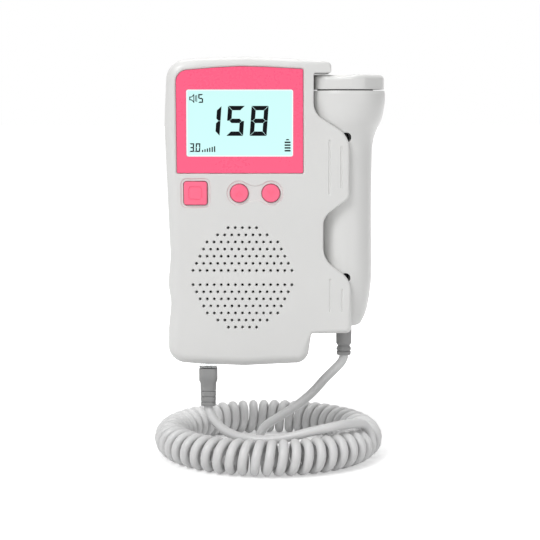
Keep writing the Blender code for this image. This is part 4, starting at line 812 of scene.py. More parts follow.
def smooth_profile(profile, count):
    """The same profile with more rings, on a smooth curve that never overshoots."""
    z = np.array([p[0] for p in profile])
    r = np.array([p[1] for p in profile])
    slope = np.diff(r) / np.diff(z)
    product, total = slope[1:] * slope[:-1], slope[1:] + slope[:-1] + 1e-12
    inner = np.where(product > 0, 2 * product / total, 0.0)
    tangent = np.concatenate([[slope[0]], inner, [slope[-1]]])
    fine = []
    for k in range(len(z) - 1):
        width = z[k + 1] - z[k]
        for step in range(count):
            t = step / count
            h00, h10 = 2 * t**3 - 3 * t**2 + 1, t**3 - 2 * t**2 + t
            h01, h11 = 3 * t**2 - 2 * t**3, t**3 - t**2
            value = h00 * r[k] + h10 * width * tangent[k]
            value += h01 * r[k + 1] + h11 * width * tangent[k + 1]
            fine.append((float(z[k] + t * width), float(value)))
    fine.append((float(z[-1]), float(r[-1])))
    return fine


def cradle(probe, case):
    """The space that the probe takes on its way out sideways."""
    clear = CRADLE_CLEARANCE
    body = smooth_profile(probe_profile(probe, clear), 3)
    slot, floor_z = BOOT_RADIUS + clear, probe.bottom - clear
    profile = [(floor_z - case.height, slot), (floor_z, slot), (floor_z, body[0][1]), *body[1:-4]]
    profile.append((probe.bottom + probe.reach + clear, probe.head + clear))
    far_x, half = probe.x + case.width, 32
    rings = []
    for z, r in profile:
        ring = []
        for k in range(half + 1):
            angle = math.pi * k / half
            ring.append((probe.x - r * math.sin(angle), probe.y - r * math.cos(angle), z))
        rings.append(ring + [(far_x, probe.y + r, z), (far_x, probe.y - r, z)])
    return solid(rings)


def grille_places(case, grille):
    """Centres of the holes: staggered rows inside a circle, with the middle row left out."""
    places = []
    rows = int(grille.radius / grille.row_pitch)
    for row in range(-rows, rows + 1):
        half_chord = math.sqrt(grille.radius**2 - (row * grille.row_pitch) ** 2)
        steps = int(2 * half_chord / grille.pitch)
        steps -= (steps + row) % 2 == 0
        if row:
            for k in range(steps + 1):
                x = grille.x * case.width + (k - steps / 2) * grille.pitch
                places.append((x, grille.z * case.height + row * grille.row_pitch))
    return places


def key_pocket(case, keys, steps):
    """The dished pockets round the keys: a square one, and one like a dumbbell."""
    z = keys.row_z * case.height
    bm = bmesh.new()
    square = keys.side + 0.0021
    skin(bm, stacked(rectangle(keys.power_x * case.width, z, square, square, 0.0021), steps))
    left, right = keys.up_x * case.width, keys.down_x * case.width
    radius, waist, lean = 0.0051, 0.0029, math.radians(52)
    arc_steps, waist_steps = 26, 9
    middle = (left + right) / 2
    reach = middle - left - radius * math.cos(lean)
    outline = []
    for side, centre in ((1, left), (-1, right)):
        for k in range(arc_steps + 1):
            a = lean + (2 * math.pi - 2 * lean) * k / arc_steps
            x, up = centre + side * radius * math.cos(a), side * radius * math.sin(a)
            outline.append(Vector((x, z + up)))
        for k in range(1, waist_steps):
            across = 2 * k / waist_steps - 1
            dip = waist + (radius * math.sin(lean) - waist) * across**2
            outline.append(Vector((middle + side * reach * across, z - side * dip)))
    count = len(outline)
    rings = []
    for y, grow in steps:
        ring = []
        for i, p in enumerate(outline):
            along = (outline[(i + 1) % count] - outline[i - 1]).normalized()
            ring.append((p.x + along.y * grow, y, p.y - along.x * grow))
        rings.append(ring)
    skin(bm, rings)
    return bm


def screw_places(case):
    return [(x * case.width, z * case.height) for x, z in CASE_SCREW_SHARES]


def door_corners(low, high):
    """The battery door's outline without its tabs, from the box of its CAD node."""
    x, z = (low.x + high.x) / 2, (DOOR_TOP + low.z) / 2
    return rectangle(x, z, high.x - low.x, DOOR_TOP - low.z, DOOR_CORNER)


class DOPPLER_OT_front_shell(Operator):
    """Builds the front shell with its pockets, grille, recess and grooves"""

    bl_idname = "doppler.front_shell"
    bl_label = "Front shell"

    def execute(self, context):
        case, display, keys, grille, probe = settings(
            context, "case", "display", "keys", "grille", "probe"
        )
        front, seam = -case.depth, -case.seam
        inner, outside = front + case.front_wall, front - OVERRUN
        through = (outside, GAP), (inner + OVERRUN, GAP)
        shell = new_object("front_case", case_half(case, seam - GAP / 2, front), "case")

        posts = bmesh.new()
        for x, z in screw_places(case):
            rod(posts, (x, inner - 0.001, z), (x, seam - GAP / 2, z), CASE_POST_RADIUS, 24)

        edge, foot, slope = 0.0008, 0.0002, 0.00045
        recess = front + PANEL_SINK + PANEL_THICKNESS + GAP
        recess = plate(
            panel_corners(case),
            (outside, edge), (front, edge), (front + slope, foot), (recess, foot),
        )
        lip = 0.00045
        pocket = key_pocket(
            case, keys, ((outside, lip), (front, lip), (front + case.pocket_depth, 0.0))
        )

        holes = bmesh.new()
        row = keys.row_z * case.height
        for x in (keys.up_x, keys.down_x):
            profile = [(y, keys.radius + grow) for y, grow in through]
            skin(holes, turned_about_y(profile, x * case.width, row, 48))
        square = rectangle(keys.power_x * case.width, row, keys.side, keys.side, POWER_CORNER)
        skin(holes, stacked(square, through))
        skin(holes, stacked(window_corners(case, display), through))
        hole = grille.hole
        profile = (
            (outside, hole + 0.0003), (front, hole + 0.0003), (front + 0.0002, hole + 0.00005),
            (front + 0.0004, hole), (inner + OVERRUN, hole),
        )
        for x, z in grille_places(case, grille):
            skin(holes, turned_about_y(profile, x, z, 14))
        profile = (seam - 0.0046, SHANK_BORE_RADIUS), (seam + OVERRUN, SHANK_BORE_RADIUS)
        for x, z in screw_places(case):
            skin(holes, turned_about_y(profile, x, z, 16))

        more = bmesh.new()
        box(more, *PLUG_OPENING)
        for x, high, low in GROOVE_SHARES:
            centre, middle = x * case.width, (high + low) / 2 * case.height
            bar = rectangle(centre, middle, 0.0008, (high - low) * case.height, 0.00039)
            steps = (outside, 0.0001), (front, 0.0001), (front + 0.00035, -0.0002)
            skin(more, stacked(bar, steps))
        combine(shell, [
            (CUT, cavity(case, inner, seam + OVERRUN)), (JOIN, posts), (CUT, cradle(probe, case)),
            (CUT, recess), (CUT, pocket), (CUT, holes), (CUT, more),
        ])
        settle(shell, "case", "front_shell")
        return {"FINISHED"}


class DOPPLER_OT_back_shell(Operator):
    """Builds the back shell with its battery bay and screw recesses"""

    bl_idname = "doppler.back_shell"
    bl_label = "Back shell"

    def execute(self, context):
        case, probe = settings(context, "case", "probe")
        seam, face = -case.seam, -case.wall / 2
        shell = new_object("back_case", case_half(case, seam + GAP / 2, 0.0), "case")
        low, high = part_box("battery_door")
        ledge, bay_top = 0.0012, -0.0058
        bay_low = Vector((low.x + ledge, -0.0172, low.z + ledge))
        bay_high = Vector((high.x - ledge, 0, bay_top))

        block = bmesh.new()
        for x, z in screw_places(case):
            rod(block, (x, seam + GAP / 2, z), (x, face, z), BACK_POST_RADIUS, 24)
        box(
            block, (bay_low.x - BAY_WALL, seam + GAP, bay_low.z - BAY_WALL),
            (bay_high.x + BAY_WALL, face, bay_high.z + BAY_WALL),
        )

        door = plate(
            door_corners(low, high),
            (-DOOR_THICKNESS - GAP, GAP), (-0.0003, GAP), (0.0, 2 * GAP), (OVERRUN, 2 * GAP),
        )
        bay = bmesh.new()
        box(bay, bay_low, (bay_high.x, OVERRUN, bay_high.z))
        notch = bmesh.new()
        for side in (-1, 1):
            x = (low.x + high.x) / 2 + side * TAB_OFFSET
            box(notch, (x - 0.0028, -0.0036, bay_top), (x + 0.0028, -0.0007, high.z + GAP))
        holes = bmesh.new()
        bore, head, mouth = SHANK_BORE_RADIUS, 0.0029, 0.0032
        profile = (
            (seam - OVERRUN, bore), (seam + 0.0060, bore), (seam + 0.0060, head),
            (-0.0003, head), (0.0, mouth), (OVERRUN, mouth),
        )
        for x, z in screw_places(case):
            skin(holes, turned_about_y(profile, x, z, 32))
        combine(shell, [
            (CUT, cavity(case, seam - OVERRUN, -case.wall)), (JOIN, block),
            (CUT, cradle(probe, case)), (CUT, door), (CUT, bay), (CUT, notch), (CUT, holes),
        ])
        settle(shell, "case", "back_shell")
        return {"FINISHED"}


class DOPPLER_OT_battery_door(Operator):
    """Builds the battery door with its tabs, thumb ridges and a pointer"""

    bl_idname = "doppler.battery_door"
    bl_label = "Battery door"

    def execute(self, context):
        low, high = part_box("battery_door")
        x, edge = (low.x + high.x) / 2, 0.00025
        slab = plate(door_corners(low, high), (-DOOR_THICKNESS, 0.0), (-edge, 0.0), (0.0, -edge))
        door = new_object("door", slab, "case")
        tabs = bmesh.new()
        for side in (-1, 1):
            at = x + side * TAB_OFFSET
            start = at - 0.0025, -DOOR_THICKNESS, DOOR_TOP - 0.0012
            box(tabs, start, (at + 0.0025, -0.0010, high.z))
        cuts = bmesh.new()
        for k in range(5):
            z = low.z + 0.0040 + k * 0.0019
            half = 0.0052 - 0.0005 * abs(k - 2)
            rod(cuts, (x - half, 0.0002, z), (x + half, 0.0002, z), 0.0006, 12)
        half, base, tip = 0.0026, low.z + 0.0165, low.z + 0.0190
        pointer = (x - half, base), (x, tip), (x + half, base)
        flat(cuts, pointer, -0.0003, OVERRUN)
        combine(door, [(JOIN, tabs), (CUT, cuts)])
        settle(door, "battery_door", "battery_door")
        return {"FINISHED"}


def cross_head(name, x, z, under, way, reach, head, thickness, shank, finish):
    """A screw along Y with a domed head and a cross recess; under is its head's underside."""
    top, straight = under - way * thickness, 0.45
    profile = [
        (under + way * reach, shank * 0.4), (under + way * (reach - 0.0008), shank),
        (under, shank), (under, head), (under - way * thickness * straight, head),
    ]
    for k in range(1, 6):
        a = math.pi / 2 * k / 5
        rise = straight + (1 - straight) * math.sin(a)
        profile.append((under - way * thickness * rise, head * (0.35 + 0.65 * math.cos(a))))
    screw = new_object(name, solid(turned_about_y(profile, x, z, 28)), finish)
    above = top - way * 0.001
    point = (above, head * 0.16), (top + way * thickness * 0.6, head * 0.10)
    tools = [(CUT, solid(turned_about_y(point, x, z, 8)))]
    wide, narrow = head * 0.58, head * 0.11
    y0, y1 = sorted((above, top + way * thickness * 0.5))
    for across, up in ((narrow, wide), (wide, narrow)):
        bar = bmesh.new()
        box(bar, (x - across, y0, z - up), (x + across, y1, z + up))
        tools.append((CUT, bar))
    return combine(screw, tools)


class DOPPLER_OT_screws(Operator):
    """Builds the case, board and probe screws with cross recesses"""

    bl_idname = "doppler.screws"
    bl_label = "Screws"

    def execute(self, context):
        bright, black = ("steel", "zinc_steel"), ("dark_steel", "black_screw")
        probe_places = "upper", "lower"
        kinds = (
            ("case_screw", range(1, 5), "case", -1, 0.0026, 0.0018, 0.0012, bright),
            ("board_screw", range(1, 4), "case", -1, 0.0019, 0.0014, 0.0010, bright),
            ("probe_screw", probe_places, "probe", 1, 0.0017, 0.0014, 0.0010, black),
        )
        for kind, places, body, way, head, thickness, shank, (finish, slot) in kinds:
            for place in places:
                node = f"{kind}_{place}"
                low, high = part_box(node)
                x, z = (low.x + high.x) / 2, (low.z + high.z) / 2
                under = low.y + thickness if way > 0 else high.y - thickness
                reach = high.y - low.y - thickness
                made = cross_head(
                    f"{node}_piece", x, z, under, way, reach, head, thickness, shank, finish
                )
                settle(made, body, node)
        return {"FINISHED"}


# Display

def panel_corners(case):
    return [(x * case.width, z * case.height, r * case.width) for x, z, r in PANEL_CORNER_SHARES]


def window_corners(case, display):
    x, z = display.window_x * case.width, display.window_z * case.height
    return rectangle(x, z, display.window_width, display.window_height, WINDOW_CORNER)


SEGMENTS = {"1": "bc", "5": "afgcd", "8": "abcdefg", "3": "abgcd", "0": "abcdef"}


def segment_shapes(width, height, bar, gap):
    """Outlines of the seven bars of a digit, from its lower left corner."""
    w, h, t, g = width, height, bar, gap
    m, s = h / 2, g * 0.7
    return {
        "a": ((g, h), (w - g, h), (w - t - g, h - t), (t + g, h - t)),
        "b": (
            (w, h - g), (w, m + s), (w - t / 2, m + s), (w - t, m + t / 2 + g), (w - t, h - t - g),
        ),
        "c": ((w, m - s), (w, g), (w - t, t + g), (w - t, m - t / 2 - g), (w - t / 2, m - s)),
        "d": ((t + g, t), (w - t - g, t), (w - g, 0), (g, 0)),
        "e": ((0, g), (0, m - s), (t / 2, m - s), (t, m - t / 2 - g), (t, t + g)),
        "f": ((0, m + s), (0, h - g), (t, h - t - g), (t, m + t / 2 + g), (t / 2, m + s)),
        "g": (
            (t / 2 + g, m), (t + g, m + t / 2), (w - t - g, m + t / 2),
            (w - t / 2 - g, m), (w - t - g, m - t / 2), (t + g, m - t / 2),
        ),
    }


def flat(bm, shape, low, high):
    """A flat piece with this outline (x, z), between two depths."""
    skin(bm, [[(a, y, b) for a, b in shape] for y in (low, high)])


class DOPPLER_OT_display(Operator):
    """Builds the pink panel, the lit screen and the digits on it"""

    bl_idname = "doppler.display"
    bl_label = "Display"

    def execute(self, context):
        case, display = settings(context, "case", "display")
        front, edge = -case.depth + PANEL_SINK, 0.0002
        slab = plate(
            panel_corners(case), (front + PANEL_THICKNESS, 0.0), (front + edge, 0.0), (front, -edge)
        )
        panel = new_object("display_frame", slab, "panel")
        grow, slope = 0.00015, 0.00025
        window = plate(
            window_corners(case, display),
            (front - OVERRUN, grow), (front, grow), (front + slope, 0.0), (front + OVERRUN, 0.0),
        )
        combine(panel, [(CUT, window)])
        settle(panel, "case", "display_panel")

        low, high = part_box("lcd_glass")
        x, z = (low.x + high.x) / 2, (low.z + high.z) / 2
        glass = rectangle(x, z, high.x - low.x, high.z - low.z, 0.0004)
        edge = 0.0001
        slab = plate(glass, (low.y, -edge), (low.y + edge, 0.0), (high.y, 0.0))
        settle(new_object("display_screen", slab, "screen"), "case", "lcd_glass")

        marks = bmesh.new()
        left = display.window_x * case.width - display.window_width / 2
        bottom = display.window_z * case.height - display.window_height / 2
        y = low.y - 0.00006
        for shape in self.digits() + self.signs():
            flat(marks, [(left + a, bottom + b) for a, b in shape], y, y + 0.00004)
        settle(new_object("display_marks", marks, "ink"), "case")
        return {"FINISHED"}

    def digits(self):
        """Bars of the three numbers, from the window's lower left corner."""
        shapes = []
        groups = (
            ("158", 0.0069, 0.0089, 0.0074, 0.0130, 0.00190, 0.00010, 0.01025, 4.0),
            ("5", 0.0051, 0.0232, 0.0021, 0.0038, 0.00056, 0.00002, 0.0, 0.0),
            ("30", 0.0011, 0.0019, 0.0020, 0.0038, 0.00056, 0.00002, 0.0027, 2.0),
        )
        for text, start, base, width, height, bar, gap, step, lean in groups:
            slope = math.tan(math.radians(lean))
            bars = segment_shapes(width, height, bar, gap)
            for k, letter in enumerate(text):
                for name in SEGMENTS[letter]:
                    at = start + k * step
                    shapes.append([(at + a + b * slope, base + b) for a, b in bars[name]])
        return shapes

    def signs(self):
        """The decimal point, signal bars, loudspeaker and battery signs."""
        def block(x, z, width, height):
            return ((x, z), (x, z + height), (x + width, z + height), (x + width, z))

        shapes = [block(0.00335, 0.0019, 0.00035, 0.0005)]
        for k in range(6):
            shapes.append(block(0.0066 + k * 0.00105, 0.0019, 0.00055, 0.0009 + 0.00032 * k))
        x, z, stroke = 0.0012, 0.0251, 0.0004
        near, far, small, large = x + 0.0009, x + 0.0021, 0.0008, 0.0019
        shapes.append(block(x, z - small, stroke, 2 * small))
        for up in (-1, 1):
            shapes.append((
                (x, z + up * small), (near, z + up * small), (far, z + up * large),
                (far, z + up * (large - stroke * 1.5)), (near, z + up * (small - stroke)),
                (x, z + up * (small - stroke)),
            ))
        shapes.append(block(x + 0.0018, z - large, stroke * 0.9, 2 * large))
        for k, half in enumerate((0.0013, 0.0015)):
            shapes.append(block(x + 0.00255 + k * 0.00055, z - half, 0.00028, 2 * half))
        x, z = 0.0424, 0.0021
        for k in range(4):
            shapes.append(block(x + 0.00025, z + k * 0.00122, 0.0026, 0.00068))
        foot, tip = z + 0.00488, z + 0.0054
        x += 0.0007
        shapes.append(((x, foot), (x + 0.0004, tip), (x + 0.0013, tip), (x + 0.0017, foot)))
        return shapes


# Keys

class DOPPLER_OT_keys(Operator):
    """Builds the square key and the two round keys, with a sunk mark on each"""

    bl_idname = "doppler.keys"
    bl_label = "Keys"

    def execute(self, context):
        case, keys = settings(context, "case", "keys")
        row, inner = keys.row_z * case.height, -case.depth + case.front_wall
        flange, top = inner + GAP, -case.depth - keys.proud
        edge, rim, rim_thickness = 0.00055, 0.001, 0.0008
        steps = [(flange + rim_thickness / 2, 0.0)]
        for k in range(6):
            a = math.pi / 2 * k / 5
            steps.append((top + edge * (1 - math.sin(a)), -edge * (1 - math.cos(a))))
        places = ("power", keys.power_x), ("volume_up", keys.up_x), ("volume_down", keys.down_x)
        for name, at in places:
            x, side = at * case.width, keys.side
            mark = bmesh.new()
            if name == "power":
                cap = plate(rectangle(x, row, side, side, POWER_CORNER), *steps)
                wide = rectangle(x, row, side + 2 * rim, side + 2 * rim, POWER_CORNER)
                base = plate(wide, (flange, 0.0), (flange + rim_thickness, 0.0))
                outer, inside, depth = 0.00018, -0.00038, top + 0.0002
                skin(mark, stacked(rectangle(x, row, side * 0.56, side * 0.56, 0.0011), (
                    (top - OVERRUN, outer), (top, outer), (depth, 0.0),
                    (depth, -0.0002), (top, inside), (top - OVERRUN, inside),
                )), closed=True)
            else:
                cap = solid(turned_about_y([(y, keys.radius + g) for y, g in steps], x, row, 56))
                radius = keys.radius + rim
                profile = (flange, radius), (flange + rim_thickness, radius)
                base = solid(turned_about_y(profile, x, row, 40))
                way = 1 if name == "volume_up" else -1
                low, high, reach = row - way * 0.0011, row + way * 0.0009, 0.0017
                foot, bend = low - way * 0.0003, high - way * 0.0009
                chevron = (
                    (x - reach, low), (x, high), (x + reach, low),
                    (x + reach * 0.72, foot), (x, bend), (x - reach * 0.72, foot),
                )
                flat(mark, chevron, top - OVERRUN, top + 0.00022)
            stem = bmesh.new()
            _, node_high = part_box(f"{name}_button")
            rod(stem, (x, flange + rim_thickness / 2, row), (x, node_high.y, row), 0.0016, 24)
            key = new_object(f"{name}_key", cap, "key")
            combine(key, [(JOIN, base), (JOIN, stem), (CUT, mark)])
            settle(key, f"{name}_button", f"{name}_button")
        return {"FINISHED"}


# Probe

class DOPPLER_OT_probe(Operator):
    """Builds the probe's two shells, its fluted cap and its face"""

    bl_idname = "doppler.probe"
    bl_label = "Probe"

    def execute(self, context):
        probe, = settings(context, "probe")
        axis, half_width = (probe.x, probe.y), 0.04
        profile = smooth_profile(probe_profile(probe), 4)
        heights = [probe.bottom + s * probe.reach for s in PROBE_SCREW_SHARES]
        top = probe.bottom + probe.reach
        seat = probe.y - 0.0045
        end, bore, head = seat + 0.0094, 0.0013, 0.0022
        for name, side in (("probe_front", -1), ("probe_back", 1)):
            shell = new_object(name, solid(turned_rings(profile, *axis, 96)), "probe")
            floor = probe.bottom + 2 * probe.wall
            inside = [(z, r - probe.wall) for z, r in profile[4::3] if z > floor]
            inside.append((top, inside[-1][1]))
            boss, hole, bores, half = (bmesh.new() for _ in range(4))
            for z in heights:
                wall = probe.y + side * (probe.handle - probe.wall / 2)
                rod(boss, (*axis, z), (probe.x, wall, z), 0.0031, 24)
            rod(hole, (*axis, probe.bottom - OVERRUN), (*axis, probe.bottom + 0.007), 0.0028, 24)
            if side < 0:
                steps = (end, bore), (seat, bore), (seat, head), (probe.y - 0.03, head)
            else:
                steps = (seat - 0.001, bore), (end, bore)
            for z in heights:
                skin(bores, turned_about_y(steps, probe.x, z, 32))
            near, far = sorted((probe.y + side * GAP / 2, probe.y - side * half_width))
            box(
                half, (probe.x - half_width, near, probe.bottom - half_width),
                (probe.x + half_width, far, top + half_width),
            )
            combine(shell, [
                (CUT, solid(turned_rings(inside, *axis, 64))), (JOIN, boss), (CUT, hole),
                (CUT, bores), (CUT, half),
            ])
            settle(shell, "probe", f"{name}_shell")
        self.cap(probe, top)
        return {"FINISHED"}

    def cap(self, probe, top):
        low = top - probe.cap_height + GAP
        radius, rounding, sides = 0.0171, 0.0020, 144
        steps = [(low, 0.00015), (low + 0.0002, 0.0), (low + 0.0022, 0.0), (top - rounding, 0.0)]
        for k in range(1, 9):
            a = math.pi / 2 * k / 8
            steps.append((top - rounding * (1 - math.sin(a)), rounding * (1 - math.cos(a))))
        turn, flat = math.radians(60), radius - probe.flute
        rings = []
        for z, inset in steps:
            height = (z - low) / probe.cap_height
            ring = []
            for k in range(sides):
                a = 2 * math.pi * k / sides
                side, off = divmod(a + math.radians(42), turn)
                off -= turn / 2
                r = min(radius, flat / math.cos(off)) - inset
                dip = 0.0
                if side % 2 == 0:
                    dip = probe.dip * max(0.0, math.cos(off * 3.4)) ** 0.7 * height**2
                ring.append((probe.x + r * math.sin(a), probe.y - r * math.cos(a), z - dip))
            rings.append(ring)
        cap = new_object("probe_rim", solid(rings), "probe")
        node_low, node_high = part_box("probe_face")
        ledge, inner, outer = node_low.z - GAP, 0.0126, 0.0143
        bore = (
            (low - OVERRUN, inner), (ledge, inner), (ledge, outer), (top - 0.0004, outer),
            (top, outer + 0.0004), (top + OVERRUN, outer + 0.0004),
        )
        combine(cap, [(CUT, solid(turned_rings(bore, probe.x, probe.y, 72)))])
        settle(cap, "probe", "probe_cap")
        radius, edge = 0.0140, 0.0006
        dome = [(node_low.z, radius), (node_high.z - edge, radius)]
        for k in range(1, 7):
            a = math.pi / 2 * k / 6
            z = node_high.z - edge * (1 - math.sin(a))
            dome.append((z, radius - 0.0016 * (1 - math.cos(a))))
        face = new_object("probe_disc", solid(turned_rings(dome, probe.x, probe.y, 72)), "face")
        settle(face, "probe", "probe_face")


# Plug and strain reliefs

class DOPPLER_OT_boots(Operator):
    """Builds the probe's strain relief, and the plug's boot and its clear body with slots for the
    contacts
    """

    bl_idname = "doppler.boots"
    bl_label = "Boots and plug"

    def execute(self, context):
        probe, = settings(context, "probe")
        low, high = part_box("probe_boot")
        top, neck = probe.bottom - GAP, 0.0025
        profile = [(high.z, neck), (top, neck)]
        profile += [(top - at * (top - low.z), BOOT_RADIUS * r) for at, r in BOOT_RIB_SHARES]
        rings = turned_rings(profile, probe.x, probe.y, 48)
        boot = new_object("probe_strain_relief", solid(rings), "boot")
        settle(boot, "probe", "probe_boot")

        low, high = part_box("plug_boot")
        x, y = (low.x + high.x) / 2, (low.y + high.y) / 2
        rings = []
        for at, r in PLUG_BOOT_SHARES:
            z = high.z - at * (high.z - low.z)
            outline = rounded(rectangle(0, 0, 0.0081 * r, 0.0072 * r, 0.0018))
            rings.append([(x + p.x, y + p.y, z) for p, _, _ in outline])
        boot = new_object("plug_strain_relief", solid(rings), "boot")
        settle(boot, "plug", "plug_boot")

        low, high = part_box("plug_body")
        x, y = (low.x + high.x) / 2, (low.y + high.y) / 2
        outline = rounded(rectangle(0, 0, 0.0077, 0.0065, 0.0006))
        edge = 0.0003
        rings = [
            [(x + p.x - n.x * inset, y + p.y - n.y * inset, z) for p, n, _ in outline]
            for z, inset in ((low.z, edge), (low.z + edge, 0), (high.z - edge, 0), (high.z, edge))
        ]
        body = new_object("plug_case", solid(rings), "clear")
        slots = bmesh.new()
        before, after = Vector((0.00015, 0.0006, 0.0003)), Vector((0.00015, 0.0003, 0.0003))
        for k in range(1, 5):
            blade_low, blade_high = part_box(f"plug_contact_{k}")
            box(slots, blade_low - before, blade_high + after)
        combine(body, [(CUT, slots)])
        settle(body, "plug", "plug_body")
        return {"FINISHED"}


# Cord

def coil_point(cord, part):
    """A point on the coil's centreline, from the plug's end (0) round to the probe's end (1)."""
    first, last = math.radians(-19.5), math.radians(-11.5)
    sweep = 2 * math.pi - (last - first)
    swing = cord.crowding / (2 * sweep)
    start = math.sin(2 * first)
    whole = 1 + swing * (math.sin(2 * first - 2 * sweep) - start)
    place = part
    for _ in range(6):
        place = part * whole - swing * (math.sin(2 * first - 2 * sweep * place) - start)
    around = first - sweep * place
    phase = -(2 * math.pi * cord.curls + math.pi / 2) * part
    curl = cord.curl * (1 - 0.16 * max(0.0, 1 - part * cord.curls / 3) ** 2)
    reach = cord.ring + curl * math.cos(phase)
    return Vector((
        cord.centre_x + reach * math.cos(around),
        cord.centre_y + reach * math.sin(around),
        -cord.drop - (cord.curl - curl) + curl * math.sin(phase),
    ))


class DOPPLER_OT_cord(Operator):
    """Builds the curly cord in its ring and the two straight leads"""

    bl_idname = "doppler.cord"
    bl_label = "Cord"

    def execute(self, context):
        cord, = settings(context, "cord")
        count = cord.curls * 20
        line = [coil_point(cord, k / count) for k in range(count + 1)]
        ends = [(a, (a - b).normalized()) for a, b in ((line[0], line[1]), (line[-1], line[-2]))]
        coil = tube("cord_coil", line, cord.diameter, "cord")
        settle(coil, "case", "curly_cord")
        jobs = (
            ("cord_to_plug", "plug_lead", "plug_boot", PLUG_LEAD_ROUTE, ends[0], "plug"),
            ("cord_to_probe", "probe_lead", "probe_boot", PROBE_LEAD_ROUTE, ends[1], "probe"),
        )
        for name, node, boot, route, (end, way), body in jobs:
            low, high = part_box(boot)
            start = Vector(((low.x + high.x) / 2, (low.y + high.y) / 2, low.z))
            down = Vector((0, 0, -1))
            points = [start, start + down * cord.straight, *(Vector(p) for p in route)]
            points += [end + way * cord.straight, end]
            path = [start, *smooth_points(points, 0.0020), end]
            lead = tube_mesh(name, path, cord.diameter, "cord")
            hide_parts(node)
            lead_length = sum((b - a).length for a, b in zip(path, path[1:]))
            pieces = ["plug_strain_relief", "plug_case", "plug_latch"] if body == "plug" else []
            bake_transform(lead)
        return {"FINISHED"}


# Carried-over inner pieces

INNER_FINISHES = {
    "white": (
        "lcd_frame", "lcd_backlight", "power_plunger", "volume_up_plunger", "volume_down_plunger",
    ),
    "black": (
        "lcd_contact_strip", "signal_chip", "speaker_basket", "cord_jack",
        "power_switch", "volume_up_switch", "volume_down_switch",
    ),
    "board": ("main_board", "probe_board"),
    "paper": ("speaker_cone",),
    "steel": (
        "speaker_magnet", "battery_spring_left", "battery_spring_right",
        "battery_link_plate", "battery_plus_plate", "battery_minus_plate",
    ),
    "cell": ("battery_left", "battery_right"),
    "ceramic": ("transmit_crystal", "receive_crystal"),
    "foam": ("crystal_backing",),
    "clear": ("plug_latch",),
    "gold": ("plug_contact_1", "plug_contact_2", "plug_contact_3", "plug_contact_4"),
}


class DOPPLER_OT_inner(Operator):
    """Makes the materials, and gives the carried-over CAD pieces theirs"""

    bl_idname = "doppler.inner"
    bl_label = "Materials and inner pieces"

    def execute(self, context):
        make_materials(context)
        for finish, nodes in INNER_FINISHES.items():
            for node in nodes:
                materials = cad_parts[node].data.materials
                materials.clear()
                materials.append(MATERIALS[finish])
        return {"FINISHED"}


# Stage

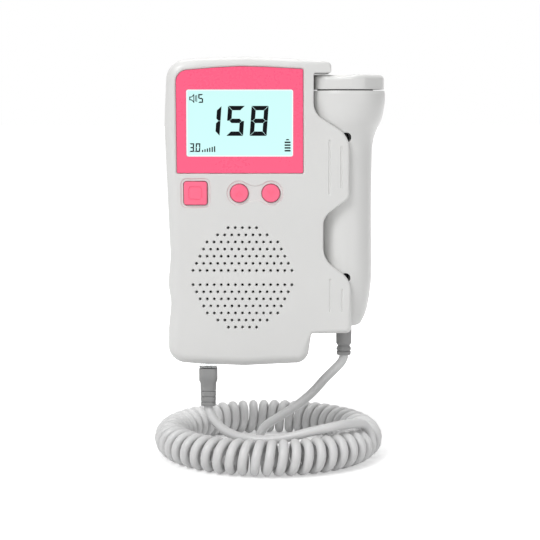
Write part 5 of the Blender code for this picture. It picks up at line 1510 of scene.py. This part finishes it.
class DOPPLER_OT_stage(Operator):
    """Sets the camera, the floor, the lights and the world"""

    bl_idname = "doppler.stage"
    bl_label = "Stage"

    def execute(self, context):
        scene = context.scene
        stage, = settings(context, "stage")
        camera = bpy.data.cameras.new("camera")
        camera.lens = stage.lens
        camera.sensor_width = 36.0
        camera.sensor_height = 36.0
        camera.clip_start = 0.01
        holder = linked("camera", camera)
        holder.location = (stage.camera_x, stage.camera_y, stage.camera_z)
        holder.rotation_euler = (math.pi / 2 - stage.tilt, 0, 0)
        scene.camera = holder
        scene.view_settings.view_transform = "Standard"

        bm = bmesh.new()
        bmesh.ops.create_grid(bm, x_segments=1, y_segments=1, size=12.0)
        floor = new_object("floor", bm)
        floor.location.z = stage.floor
        floor.data.materials.append(self.pale("floor_pale", 0.80, 0.42))

        self.lamp("key", (-0.75, -1.05, 1.15), (0.0, -0.02, -0.01), 0.8, 16.0)
        self.lamp("fill", (0.95, -1.1, 0.25), (0.0, -0.02, -0.02), 1.2, 3.6)
        self.lamp("top", (0.0, 0.35, 1.2), (0.0, 0.0, 0.0), 1.0, 7.5)
        self.world(scene)
        return {"FINISHED"}

    def pale(self, name, tone, lift):
        """A pale floor that takes shadows and shows white to the camera and in reflections."""
        shader = Shader(name, Roughness=0.9, Specular_IOR_Level=0.0, Emission_Strength=1.0)
        grain = shader.noise(30.0)
        shader.feed("Base Color", shader.blend(grain, (tone * 0.99,) * 3, (tone * 1.01,) * 3))
        x, y, z = shader.place()
        far = shader.node(
            "ShaderNodeMapRange", {"interpolation_type": "SMOOTHSTEP"},
            (x * x + y * y).math("SQRT"), 0.10, 0.30, lift, 1.0,
        )
        glow = shader.blend(shader.seen() * far, (0.0, 0.0, 0.0), (1.0, 1.0, 1.0))
        shader.feed("Emission Color", glow)
        return shader.material

    def lamp(self, name, place, target, size, power):
        light = bpy.data.lights.new(name, "AREA")
        light.shape = "DISK"
        light.size = size
        light.energy = power
        made = linked(name, light)
        made.location = place
        made.rotation_euler = (Vector(target) - Vector(place)).to_track_quat("-Z", "Y").to_euler()

    def world(self, scene):
        """A soft grey light all round, which shows white to the camera and in reflections."""
        world = bpy.data.worlds.new("studio")
        world.use_nodes = True
        scene.world = world
        nodes = Nodes(world.node_tree)
        background = world.node_tree.nodes["Background"].inputs
        tone = nodes.blend(nodes.seen(), (0.34, 0.34, 0.34), (1.0, 1.0, 1.0))
        nodes.put(background["Color"], tone)
        nodes.put(background["Strength"], 1.0)


OPERATORS = (
    DOPPLER_OT_inner,
    DOPPLER_OT_front_shell,
    DOPPLER_OT_back_shell,
    DOPPLER_OT_battery_door,
    DOPPLER_OT_screws,
    DOPPLER_OT_display,
    DOPPLER_OT_keys,
    DOPPLER_OT_probe,
    DOPPLER_OT_boots,
    DOPPLER_OT_cord,
    DOPPLER_OT_stage,
)


class DOPPLER_PT_panel(Panel):
    """The monitor's pieces and settings"""

    bl_idname = "DOPPLER_PT_panel"
    bl_label = "Fetal doppler monitor"
    bl_space_type = "VIEW_3D"
    bl_region_type = "UI"
    bl_category = "Doppler"

    def draw(self, context):
        for operator in OPERATORS:
            self.layout.operator(operator.bl_idname)
        for name, group in SETTINGS.items():
            column = self.layout.box().column()
            for key in group.__annotations__:
                column.prop(getattr(context.scene, name), key)


def register():
    for group in (*SETTINGS.values(), *OPERATORS, DOPPLER_PT_panel):
        bpy.utils.register_class(group)
    for name, group in SETTINGS.items():
        setattr(bpy.types.Scene, name, PointerProperty(type=group))


def unregister():
    for name in SETTINGS:
        delattr(bpy.types.Scene, name)
    for group in (DOPPLER_PT_panel, *reversed(OPERATORS), *reversed(list(SETTINGS.values()))):
        bpy.utils.unregister_class(group)


def main():
    register()
    bpy.ops.doppler.inner()
    bpy.ops.doppler.front_shell()
    bpy.ops.doppler.back_shell()
    bpy.ops.doppler.battery_door()
    bpy.ops.doppler.screws()
    bpy.ops.doppler.display()
    bpy.ops.doppler.keys()
    bpy.ops.doppler.probe()
    bpy.ops.doppler.boots()
    bpy.ops.doppler.cord()
    bpy.ops.doppler.stage()


if __name__ == "__main__":
    main()
